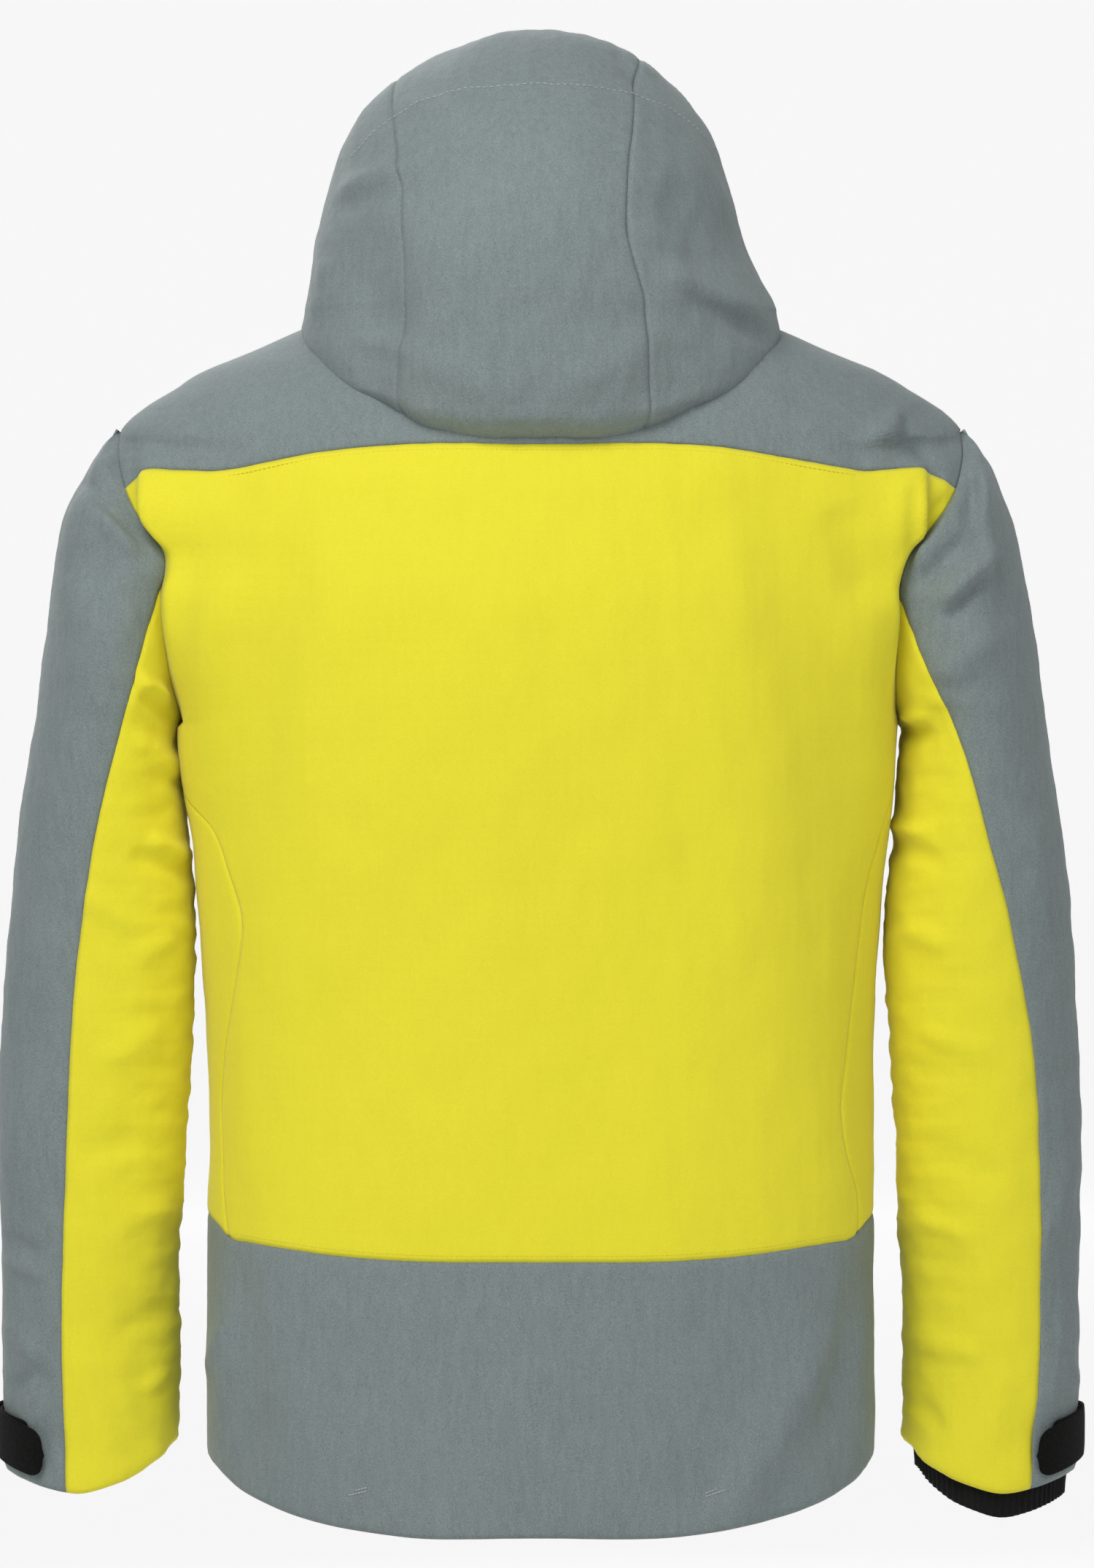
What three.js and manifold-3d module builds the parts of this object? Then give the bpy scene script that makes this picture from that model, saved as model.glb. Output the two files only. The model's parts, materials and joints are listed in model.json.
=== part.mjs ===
// Insulated ski jacket with a hood, worn upright. Millimetres, +Z up, +Y towards the back,
// +X towards the wearer's left. Shapes are worked out with heights above a datum just under
// the hem; the finished group is moved so that its origin is the middle of the hanger loop.
import * as THREE from 'three';
import { mergeVertices } from 'three/addons/utils/BufferGeometryUtils.js';
import Module from 'manifold-3d';

const wasm = await Module();
wasm.setup();

// ---- Driving dimensions ----
// Body
const TORSO_LENGTH = 722; // datum to shoulder point
const NECK_RISE = 96; // shoulder point to collar seam
const COLLAR_HEIGHT = 38;
const HEM_HALF_WIDTH = 218;
const WAIST_HALF_WIDTH = 219;
const CHEST_HALF_WIDTH = 229;
const SHOULDER_HALF_WIDTH = 272;
const NECK_HALF_WIDTH = 80;
const BACK_DEPTH = 138; // back of the hem behind the side plane
const NECK_DEPTH = 62;
const FRONT_DEPTH = 158; // front edge ahead of the side plane, at the datum
const FRONT_LEAN = 0.045; // how fast the front edge comes back as it rises
const HEM_DROP = 10; // lowest point of the back hem
const SIDE_HEM = 52;
const FRONT_HEM = 40;
const HEM_SEAM = 187;
const YOKE_SEAM_DROP = 13; // back yoke seam below the shoulder point
const FRONT_YOKE_DROP = 72;
const SIDE_PANEL_TOP_DROP = 226; // top of the side panel below the shoulder point
const SIDE_SEAM_X = 205;
// Layers and clearances
const SHELL_WALL = 4;
const LINING_WALL = 1.5;
const GAP = 0.3;
const ARMHOLE_GAP = 0.6;
const SLEEVE_CLEARANCE = 3;
const HOOD_CLEARANCE = 2;
// Sleeves
const SLEEVE_REACH = 682; // shoulder point to the level under the cuff
const CUFF_HALF_WIDTH = 57;
const CUFF_HALF_DEPTH = 51;
const UPPER_ARM_HALF_DEPTH = 80;
const GAITER_WALL = 2;
const GAITER_DROP = 17; // how far the gaiter shows under the cuff
const GAITER_LENGTH = 70;
// Hood
const HOOD_HEIGHT = 273; // collar side of the hood to its crown
const HOOD_HALF_WIDTH = 154;
const HOOD_BACK = 150;
const HOOD_FRONT = 140;
const HOOD_WALL = 3.5;
const HOOD_SEAM_INSET = 76; // hood seams, in from the widest point
const HOOD_CHEEK = 59; // from the widest point to the edge of the face opening
const HOOD_BRIM_DEPTH = 36;
// Zips
const ZIP_HALF_GAP = 6;
const ZIP_THICKNESS = 3;
const SLIDER_LENGTH = 16;
const SLIDER_THICKNESS = 3.5;
const POCKET_SLIDER_RISE = 2.1;
const PULL_LENGTH = 24;
const PULL_WIDTH = 6;
const PULL_THICKNESS = 2;
const POCKET_ZIP_WIDTH = 12;
const POCKET_ZIP_THICKNESS = 2;
const STORM_FLAP_HALF_WIDTH = 24;
// Cuff straps
const TAB_HEIGHT = 30;
const TAB_THICKNESS = 2;
const TAB_ROOT_ANGLE = -60; // degrees round the cuff from straight out, towards the front
const PATCH_THICKNESS = 1.5;
const PATCH_HEIGHT = 34;
// Cord locks and the hem cord
const CORD_RADIUS = 1.4;
const CORD_INSET = 10;
const LOCK_SIZE = [16, 9, 18];
const BUTTON_SIZE = [9, 5, 9];
const BUTTON_STAND = 5; // how far a button stands out of its lock
const BUTTON_TRAVEL = 3;
const HEM_LOCK_X = 120;
const HOOD_LOCK_SETBACK = 21; // hood locks, out from the edge of the face opening
// Hanger loop
const LOOP_LENGTH = 50;
const LOOP_STRAP = 7;
const LOOP_INSET = 17; // middle of the strap ahead of the back of the neck

const SHOULDER = TORSO_LENGTH;
const NECK = SHOULDER + NECK_RISE;
const COLLAR_TOP = NECK + COLLAR_HEIGHT;
const HOOD_SEAM_X = HOOD_HALF_WIDTH - HOOD_SEAM_INSET;
const MOUTH_HALF_WIDTH = HOOD_HALF_WIDTH - HOOD_CHEEK;
const HOOD_LOCK_X = MOUTH_HALF_WIDTH + HOOD_LOCK_SETBACK;
const CROWN = SHOULDER - YOKE_SEAM_DROP + 2 + HOOD_HEIGHT;
const SIDES = [['left', 1], ['right', -1]];
const FAR = 1200;
const BODY_FACETS = 24;
const SLEEVE_FACETS = 12;
const HOOD_FACETS = 16;

// ---- Finishes ----
const finish = (color, roughness, metalness = 0) =>
  new THREE.MeshStandardMaterial({ color, roughness, metalness });
const GREY_SHELL = finish('#7e8988', 0.85);
const YELLOW_SHELL = finish('#e7dd39', 0.85);
const LINING = finish('#3b4143', 0.9);
const KNIT = finish('#141514', 0.95);
const LOOP_PILE = finish('#0c0c0a', 0.95);
const TAPE = finish('#1b1d1e', 0.8);
const MOULDED = finish('#232627', 0.5);
const METAL = finish('#8b8f92', 0.35, 1);

// ---- Solids ----
function solid(geometry) {
  const bare = geometry.index ? geometry.toNonIndexed() : geometry.clone();
  bare.deleteAttribute('normal');
  bare.deleteAttribute('uv');
  const merged = mergeVertices(bare, 1e-4);
  return new wasm.Manifold(new wasm.Mesh({
    numProp: 3,
    vertProperties: new Float32Array(merged.attributes.position.array),
    triVerts: new Uint32Array(merged.index.array),
  }));
}

function geometryOf(body) {
  const largest = body.decompose().reduce((a, b) => (a.volume() > b.volume() ? a : b));
  const { vertProperties, triVerts } = largest.getMesh();
  const geometry = new THREE.BufferGeometry();
  geometry.setAttribute('position', new THREE.BufferAttribute(vertProperties, 3));
  geometry.setIndex(new THREE.BufferAttribute(triVerts, 1));
  geometry.computeVertexNormals();
  return geometry;
}

function boxGeometry(x0, x1, y0, y1, z0, z1) {
  return new THREE.BoxGeometry(x1 - x0, y1 - y0, z1 - z0)
    .translate((x0 + x1) / 2, (y0 + y1) / 2, (z0 + z1) / 2);
}

const box = (...limits) => solid(boxGeometry(...limits));

// A prism along Y whose outline is drawn in X and Z.
function prism(outline, y0, y1) {
  const shape = new THREE.Shape(outline.map(([x, z]) => new THREE.Vector2(x, z)));
  const geometry = new THREE.ExtrudeGeometry(shape, { depth: y1 - y0, bevelEnabled: false });
  return solid(geometry.rotateX(Math.PI / 2).translate(0, y1, 0));
}

// Straight-line interpolation in rows that start with a height.
function stationAt(rows, height) {
  const last = rows.length - 1;
  if (height <= rows[0][0]) return rows[0].slice(1);
  if (height >= rows[last][0]) return rows[last].slice(1);
  const upper = rows.findIndex(([level]) => level > height);
  const [low, high] = [rows[upper - 1], rows[upper]];
  const share = (height - low[0]) / (high[0] - low[0]);
  return low.slice(1).map((value, i) => value + share * (high[i + 1] - value));
}

// A closed loft through superellipses, one at each station:
// height, middle x, half-width, back y, front y, exponent.
function loft(stations, around) {
  const steps = stations.length - 1;
  const geometry = new THREE.CylinderGeometry(1, 1, 1, around, steps);
  const places = geometry.attributes.position;
  for (let i = 0; i < places.count; i += 1) {
    const step = Math.round((places.getY(i) + 0.5) * steps);
    const [height, middle, halfWidth, back, front, power] = stations[step];
    const across = places.getX(i);
    const along = -places.getZ(i);
    const radius = Math.hypot(across, along);
    const fullness = radius < 1e-6
      ? 0
      : radius / (Math.abs(across) ** power + Math.abs(along) ** power) ** (1 / power);
    places.setXYZ(
      i,
      middle + across * fullness * halfWidth,
      (back + front) / 2 + along * fullness * (back - front) / 2,
      height,
    );
  }
  geometry.deleteAttribute('normal');
  geometry.deleteAttribute('uv');
  return mergeVertices(geometry, 1e-4);
}

// The same surface moved out along its vertex normals, or in where the distance is negative.
function offset(geometry, distance) {
  const moved = geometry.clone();
  moved.computeVertexNormals();
  const places = moved.attributes.position;
  const normals = moved.attributes.normal;
  for (let i = 0; i < places.count; i += 1) {
    places.setXYZ(
      i,
      places.getX(i) + normals.getX(i) * distance,
      places.getY(i) + normals.getY(i) * distance,
      places.getZ(i) + normals.getZ(i) * distance,
    );
  }
  return solid(moved);
}

const layer = (form, outer, wall) => offset(form, -outer).subtract(offset(form, -outer - wall));

// ---- The body's form ----
const frontY = (height) => FRONT_LEAN * height - FRONT_DEPTH;
const bodyRows = [
  [-20, HEM_HALF_WIDTH, BACK_DEPTH, 2.6],
  [HEM_SEAM, HEM_HALF_WIDTH, BACK_DEPTH - 2, 2.6],
  [(HEM_SEAM + SHOULDER - 220) / 2, WAIST_HALF_WIDTH, BACK_DEPTH - 8, 2.5],
  [SHOULDER - 220, CHEST_HALF_WIDTH, BACK_DEPTH, 2.4],
  [SHOULDER - 112, CHEST_HALF_WIDTH + 10, BACK_DEPTH + 5, 2.3],
  [SHOULDER - 60, SHOULDER_HALF_WIDTH - 8, BACK_DEPTH - 1, 2.1],
  [SHOULDER - 14, SHOULDER_HALF_WIDTH + 2, BACK_DEPTH - 10, 1.9],
  [SHOULDER, SHOULDER_HALF_WIDTH, BACK_DEPTH - 15, 1.9],
  [SHOULDER + 0.35 * NECK_RISE, 0.8 * SHOULDER_HALF_WIDTH + 5, BACK_DEPTH - 33, 1.9],
  [SHOULDER + 0.7 * NECK_RISE, 0.57 * SHOULDER_HALF_WIDTH, NECK_DEPTH + 23, 1.9],
  [SHOULDER + 0.88 * NECK_RISE, NECK_HALF_WIDTH + 31, NECK_DEPTH + 10, 2],
  [NECK, NECK_HALF_WIDTH, NECK_DEPTH, 2],
  [COLLAR_TOP + 12, NECK_HALF_WIDTH - 2, NECK_DEPTH - 4, 2],
];
const bodyStations = bodyRows.map(([height, half, back, power]) =>
  [height, 0, half, back, frontY(height), power]);
const bodyForm = loft(bodyStations, BODY_FACETS);
const bodyHalf = (height) => stationAt(bodyRows, height)[0];

// The front surface of the body at a distance from the centre line and a height.
function bodyFront(x, height) {
  const [, half, back, front, power] = stationAt(bodyStations, height);
  const rise = (1 - Math.abs(x / half) ** power) ** (1 / power);
  return (back + front) / 2 - rise * (back - front) / 2;
}

// ---- The sleeves' forms ----
// height below the shoulder point, gap to the body's side, width, half-depth, middle y
const sleeveRows = [
  [-2, -10, 12, 8, 0],
  [7, -34, 40, 28, 0],
  [22, -60, 74, 52, 0],
  [42, -66, 98, 68, 0],
  [82, -58, 116, UPPER_ARM_HALF_DEPTH - 2, 0],
  [122, -35, 113, UPPER_ARM_HALF_DEPTH, 0],
  [162, -13, 102, UPPER_ARM_HALF_DEPTH - 1, -1],
  [192, 0, 99, UPPER_ARM_HALF_DEPTH - 5, -2],
  [222, SLEEVE_CLEARANCE, 100, UPPER_ARM_HALF_DEPTH - 8, -3],
  [322, SLEEVE_CLEARANCE, 122, CUFF_HALF_DEPTH + 11, -5],
  [422, 10, 124, CUFF_HALF_DEPTH + 6, -9],
  [522, 17, 118, CUFF_HALF_DEPTH + 2, -12],
  [SLEEVE_REACH - 50, 19, 2 * CUFF_HALF_WIDTH + 1, CUFF_HALF_DEPTH + 1, -14],
  [SLEEVE_REACH + 60, 19, 2 * CUFF_HALF_WIDTH, CUFF_HALF_DEPTH - 1, -15],
];
const sleeveStations = (side) => sleeveRows.map(([drop, gap, width, halfDepth, middle]) => {
  const height = SHOULDER - drop;
  const inner = bodyHalf(height) + gap;
  return [
    height, side * (inner + width / 2), width / 2, middle + halfDepth, middle - halfDepth, 2,
  ];
}).reverse();
const sleeveForms = SIDES.map(([, side]) => loft(sleeveStations(side), SLEEVE_FACETS));
const cuffAt = (height) => stationAt(sleeveStations(1), height);

// ---- The hood's form ----
const UNDER = CROWN - HOOD_HEIGHT;
const hoodStations = [
  [UNDER - 30, HOOD_HALF_WIDTH - 8, HOOD_BACK - 16, HOOD_FRONT - 20, 2.3],
  [UNDER, HOOD_HALF_WIDTH - 4, HOOD_BACK - 15, HOOD_FRONT - 16, 2.3],
  [UNDER + 80, HOOD_HALF_WIDTH, HOOD_BACK, HOOD_FRONT - 8, 2.3],
  [UNDER + 120, HOOD_HALF_WIDTH - 11, HOOD_BACK, HOOD_FRONT, 2.3],
  [UNDER + 160, HOOD_HALF_WIDTH - 21, HOOD_BACK - 8, HOOD_FRONT, 2.3],
  [UNDER + 197, HOOD_HALF_WIDTH - 36, HOOD_BACK - 26, HOOD_FRONT, 2.2],
  [UNDER + 217, HOOD_HALF_WIDTH - 47, HOOD_BACK - 44, HOOD_FRONT - 3, 2.2],
  [UNDER + 237, HOOD_HALF_WIDTH - 62, HOOD_BACK - 66, HOOD_FRONT - 12, 2.1],
  [UNDER + 257, HOOD_HALF_WIDTH - 86, HOOD_BACK - 92, HOOD_FRONT - 35, 2],
  [UNDER + 268, HOOD_HALF_WIDTH - 112, HOOD_BACK - 118, HOOD_FRONT - 66, 2],
  [CROWN, HOOD_HALF_WIDTH - 142, HOOD_BACK - 146, HOOD_FRONT - 110, 2],
].map(([height, half, back, front, power]) => [height, 0, half, back, -front, power]);
const hoodForm = loft(hoodStations, HOOD_FACETS);

function hoodFront(x, height) {
  const [, half, back, front, power] = stationAt(hoodStations, height);
  const rise = (1 - Math.abs(x / half) ** power) ** (1 / power);
  return (back + front) / 2 - rise * (back - front) / 2;
}

// ---- Named pieces ----
const jacket = new THREE.Group();
jacket.position.set(0, LOOP_INSET - NECK_DEPTH, -NECK);

function addGeometry(name, geometry, material) {
  const mesh = new THREE.Mesh(geometry, material);
  mesh.name = name;
  jacket.add(mesh);
}

const add = (name, body, material) => addGeometry(name, geometryOf(body), material);

// ---- Body shell ----
const half = GAP / 2;
const armholes = sleeveForms.map((form) => offset(form, -SHELL_WALL - LINING_WALL - 2 * GAP));
const withoutArmholes = (body) => body.subtract(armholes[0]).subtract(armholes[1]);
const bodyShell = withoutArmholes(layer(bodyForm, 0, SHELL_WALL));
const zipGap = box(-ZIP_HALF_GAP, ZIP_HALF_GAP, -FAR, 0, -FAR, FAR);

// The hem line: low in the middle of the back, higher at the sides.
const hemOutline = [
  [-FAR, SIDE_HEM], [-HEM_HALF_WIDTH, SIDE_HEM], [-0.85 * HEM_HALF_WIDTH, SIDE_HEM - 22],
  [-0.64 * HEM_HALF_WIDTH, HEM_DROP + 8], [-0.42 * HEM_HALF_WIDTH, HEM_DROP],
  [0.42 * HEM_HALF_WIDTH, HEM_DROP], [0.64 * HEM_HALF_WIDTH, HEM_DROP + 8],
  [0.85 * HEM_HALF_WIDTH, SIDE_HEM - 22], [HEM_HALF_WIDTH, SIDE_HEM], [FAR, SIDE_HEM],
];
// The seam above the hem band turns up at each side.
const hemSeam = (rise) => [
  [-FAR, HEM_SEAM + 16 + rise], [-0.95 * HEM_HALF_WIDTH, HEM_SEAM + 14 + rise],
  [-0.9 * HEM_HALF_WIDTH, HEM_SEAM + 8 + rise], [-0.6 * HEM_HALF_WIDTH, HEM_SEAM + rise],
  [0.6 * HEM_HALF_WIDTH, HEM_SEAM + rise], [0.9 * HEM_HALF_WIDTH, HEM_SEAM + 8 + rise],
  [0.95 * HEM_HALF_WIDTH, HEM_SEAM + 14 + rise], [FAR, HEM_SEAM + 16 + rise],
];
const YOKE = SHOULDER - YOKE_SEAM_DROP;
// The back yoke seam falls towards the armholes.
const yokeSeam = (rise) => [
  [-FAR, YOKE - 26 + rise], [-0.92 * SHOULDER_HALF_WIDTH, YOKE - 16 + rise],
  [-0.44 * SHOULDER_HALF_WIDTH, YOKE + rise], [0.44 * SHOULDER_HALF_WIDTH, YOKE + rise],
  [0.92 * SHOULDER_HALF_WIDTH, YOKE - 16 + rise], [FAR, YOKE - 26 + rise],
];
const FRONT_YOKE = SHOULDER - FRONT_YOKE_DROP;
const between = (lower, upper) => [...lower, ...upper.slice().reverse()];
const flatLine = (height) => [[-FAR, height], [FAR, height]];
const backHalf = (outline) => prism(outline, half, FAR);
const frontHalf = (outline) => prism(outline, -FAR, -half);

// Everything outside the side seams, from the hem band to under the armhole.
const SIDE_TOP = SHOULDER - SIDE_PANEL_TOP_DROP;
function sideRegion(side, grow) {
  const seam = SIDE_SEAM_X - grow;
  const outline = [
    [side * seam, HEM_SEAM - 40], [side * seam, HEM_SEAM + 100], [side * (seam - 8), SIDE_TOP - 130],
    [side * (seam - 4), SIDE_TOP - 80], [side * (seam + 20), SIDE_TOP + grow], [side * FAR, SIDE_TOP + grow],
    [side * FAR, HEM_SEAM - 40],
  ];
  return prism(side > 0 ? outline : outline.reverse(), -FAR, FAR);
}

const sideCuts = SIDES.map(([, side]) => sideRegion(side, GAP));
const withoutSides = (body) => body.subtract(sideCuts[0]).subtract(sideCuts[1]);

add('back_hem_panel', bodyShell.intersect(backHalf(between(hemOutline, hemSeam(-half)))), GREY_SHELL);
add('back_panel', withoutSides(
  bodyShell.intersect(backHalf(between(hemSeam(half), yokeSeam(-half)))),
), YELLOW_SHELL);
add('back_yoke', bodyShell.intersect(backHalf(between(yokeSeam(half), flatLine(NECK - half)))), GREY_SHELL);

const sideShell = bodyShell.intersect(prism(between(hemSeam(half), flatLine(FAR)), -FAR, FAR));
const frontShell = bodyShell.subtract(zipGap);
const frontBands = [
  ['front_hem', between(flatLine(FRONT_HEM), hemSeam(-half)), GREY_SHELL],
  ['front_panel', between(hemSeam(half), flatLine(FRONT_YOKE - half)), YELLOW_SHELL],
  ['front_yoke', between(flatLine(FRONT_YOKE + half), flatLine(NECK - half)), GREY_SHELL],
];
for (const [label, side] of SIDES) {
  const flank = box(...(side > 0 ? [0, FAR] : [-FAR, 0]), -FAR, FAR, -FAR, FAR);
  add(`side_panel_${label}`, sideShell.intersect(sideRegion(side, 0)), YELLOW_SHELL);
  for (const [name, outline, material] of frontBands) {
    const band = frontShell.intersect(frontHalf(outline)).intersect(flank);
    add(`${name}_${label}`, name === 'front_panel' ? withoutSides(band) : band, material);
  }
}

add('collar', layer(bodyForm, 0, SHELL_WALL).subtract(zipGap)
  .intersect(box(-FAR, FAR, -FAR, FAR, NECK + half, COLLAR_TOP)), GREY_SHELL);

// ---- Body lining, powder skirt and storm flap ----
const LINING_DEPTH = SHELL_WALL + GAP;
const SKIRT_DEPTH = LINING_DEPTH + LINING_WALL + 3;
const flapGap = box(
  -STORM_FLAP_HALF_WIDTH - GAP, STORM_FLAP_HALF_WIDTH + GAP, -FAR, 0, -FAR, FAR,
);
add('body_lining', withoutArmholes(layer(bodyForm, LINING_DEPTH, LINING_WALL)).subtract(flapGap)
  .intersect(box(-FAR, FAR, -FAR, FAR, SIDE_HEM + 18, NECK - 14)), LINING);
add('powder_skirt', layer(bodyForm, SKIRT_DEPTH, LINING_WALL).subtract(flapGap)
  .intersect(box(-FAR, FAR, -FAR, FAR, HEM_SEAM - 20, HEM_SEAM + 90)), LINING);

// A straight strip parallel to the front edge, between two heights and two depths.
function frontStrip(x0, x1, depth0, depth1, low, high) {
  const places = boxGeometry(x0, x1, depth0, depth1, low, high);
  const position = places.attributes.position;
  for (let i = 0; i < position.count; i += 1) {
    position.setY(i, position.getY(i) + frontY(position.getZ(i)));
  }
  return places;
}

const ZIP_LOW = FRONT_HEM + 12;
const FLAP_DEPTH = SHELL_WALL + 3.2;
addGeometry('storm_flap', frontStrip(
  -STORM_FLAP_HALF_WIDTH, STORM_FLAP_HALF_WIDTH,
  FLAP_DEPTH, FLAP_DEPTH + LINING_WALL, ZIP_LOW, SHOULDER + 0.6 * NECK_RISE,
), LINING);

// ---- Front zip ----
for (const [label, side] of SIDES) {
  const inner = GAP / 2;
  const outer = ZIP_HALF_GAP - GAP;
  addGeometry(`front_zip_${label}`, frontStrip(
    Math.min(side * inner, side * outer), Math.max(side * inner, side * outer),
    0, ZIP_THICKNESS, ZIP_LOW, COLLAR_TOP - 2,
  ), TAPE);
}
addGeometry('front_zip_box', frontStrip(
  GAP - ZIP_HALF_GAP, ZIP_HALF_GAP - GAP, -0.5, ZIP_THICKNESS + 0.5, FRONT_HEM, ZIP_LOW - GAP,
), METAL);

// ---- Sliders and pulls ----
// A slider body lies on its chain and carries a bail over the pull's eye; the pull hangs from it.
function addSliderAndPull(name, width, place) {
  const bail = width / 2 - 1;
  const face = SLIDER_THICKNESS;
  const plate = boxGeometry(-width / 2, width / 2, -face, 0, -SLIDER_LENGTH / 2, SLIDER_LENGTH / 2);
  const cheeks = [-1, 1].map((side) => boxGeometry(
    Math.min(side * bail, side * (bail + 1)), Math.max(side * bail, side * (bail + 1)),
    -face - 4, -face + 0.5, -1, SLIDER_LENGTH / 2 - 1,
  ));
  const body = cheeks.reduce((sum, cheek) => sum.add(solid(cheek)), solid(plate));
  const pullWidth = Math.min(PULL_WIDTH, 2 * bail - 2 * GAP);
  const neck = boxGeometry(
    -pullWidth / 2, pullWidth / 2, -face - 1 - PULL_THICKNESS, -face - 1, 1 - PULL_LENGTH, 4,
  );
  const turn = new THREE.Matrix4().makeRotationFromEuler(place.turn).setPosition(place.at);
  addGeometry(`${name}_slider`, geometryOf(body).applyMatrix4(turn), METAL);
  addGeometry(`${name}_pull`, neck.applyMatrix4(turn), MOULDED);
}

const frontTurn = new THREE.Euler(-Math.atan(FRONT_LEAN), 0, 0);
const sliderTop = COLLAR_TOP - 4 - SLIDER_LENGTH / 2;
addSliderAndPull('front', 2 * ZIP_HALF_GAP - 2, {
  at: new THREE.Vector3(0, frontY(sliderTop) - 1, sliderTop),
  turn: frontTurn,
});

// ---- Pocket zips: strips that follow a surface, with a slider at the upper end ----
function surfaceStrip(line, surface, gap, thickness) {
  const [[x0, low], [x1, high]] = line;
  const strip = new THREE.BoxGeometry(POCKET_ZIP_WIDTH, thickness, high - low, 2, 1, 8);
  const places = strip.attributes.position;
  for (let i = 0; i < places.count; i += 1) {
    const share = places.getZ(i) / (high - low) + 0.5;
    const x = x0 + share * (x1 - x0) + places.getX(i);
    const height = low + share * (high - low);
    places.setXYZ(i, x, surface(x, height) - gap - thickness / 2 + places.getY(i), height);
  }
  return strip;
}

function addPocketZip(zipName, sliderName, line, surface) {
  addGeometry(zipName, surfaceStrip(line, surface, GAP, POCKET_ZIP_THICKNESS), TAPE);
  const [[x0, low], [x1, high]] = line;
  const share = 1 - (SLIDER_LENGTH / 2 + 4) / (high - low);
  const x = x0 + share * (x1 - x0);
  const height = low + share * (high - low);
  const lean = (surface(x1, high) - surface(x0, low)) / (high - low);
  const yaw = (surface(x + 4, height) - surface(x - 4, height)) / 8;
  const roll = Math.atan2(x1 - x0, high - low);
  addSliderAndPull(sliderName, POCKET_ZIP_WIDTH - 3, {
    at: new THREE.Vector3(x, surface(x, height) - GAP - POCKET_ZIP_THICKNESS - POCKET_SLIDER_RISE, height),
    turn: new THREE.Euler(-Math.atan(lean), roll, Math.atan(yaw), 'ZXY'),
  });
}

for (const [label, side] of SIDES) {
  const line = [[side * 168, HEM_SEAM + 63], [side * 140, HEM_SEAM + 213]];
  addPocketZip(`hand_pocket_zip_${label}`, `hand_pocket_${label}`, line, bodyFront);
}
addPocketZip('chest_pocket_zip', 'chest_pocket', [
  [92, FRONT_YOKE - 140], [92, FRONT_YOKE - 12],
], bodyFront);

// ---- Sleeves ----
// The seam between the grey and the yellow panel, measured from the sleeve's inner edge.
const sleeveSeamRows = [
  [SHOULDER - SLEEVE_REACH - 30, 78], [SHOULDER - 422, 86], [SHOULDER - 330, 78],
  [SHOULDER - 240, 52], [SHOULDER - 180, 31], [SHOULDER - 116, 0],
];
function sleeveSeam(shift) {
  return sleeveSeamRows.map(([height, inset]) => {
    const gap = stationAt(sleeveRows, SHOULDER - height)[0];
    return [bodyHalf(height) + Math.max(gap, -6) + inset + shift, height];
  });
}
const CUFF = SHOULDER - SLEEVE_REACH;
const cuffInner = cuffAt(CUFF)[0] - CUFF_HALF_WIDTH;
// Everything below the slanted cuff edge, lowest towards its middle.
const cuffOutline = (rise) => [
  [0, -FAR], [FAR, -FAR], [FAR, CUFF + 8 + rise], [cuffInner + 2 * CUFF_HALF_WIDTH, CUFF + 6 + rise],
  [cuffInner + 1.1 * CUFF_HALF_WIDTH, CUFF - 8 + rise], [cuffInner + 0.5 * CUFF_HALF_WIDTH, CUFF + rise],
  [cuffInner, CUFF + 20 + rise], [0, CUFF + 24 + rise],
];
const yellowOutline = (shift) => [
  [0, SHOULDER - SLEEVE_REACH - 30], ...sleeveSeam(shift), [0, SHOULDER - 116],
];
const sidePrism = (outline, side) =>
  prism(outline.map(([x, height]) => [side * x, height]), -FAR, FAR);

// A band that follows the cuff's section between two angles, 0 straight out, 90 to the back.
function cuffBand(side, [from, to], inset, thickness, low, height) {
  const [middle, halfWidth, back, front] = cuffAt(low + height);
  const steps = 8;
  const place = (turn, grow) => new THREE.Vector2(
    side * (middle + Math.cos(turn) * (halfWidth + grow)),
    (back + front) / 2 + Math.sin(turn) * ((back - front) / 2 + grow),
  );
  const turns = Array.from({ length: steps + 1 }, (_, i) =>
    THREE.MathUtils.degToRad(from + (i / steps) * (to - from)));
  const shape = new THREE.Shape([
    ...turns.map((turn) => place(turn, inset + thickness)),
    ...turns.slice().reverse().map((turn) => place(turn, inset)),
  ]);
  return solid(new THREE.ExtrudeGeometry(shape, { depth: height, bevelEnabled: false })
    .translate(0, 0, low));
}

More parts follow.
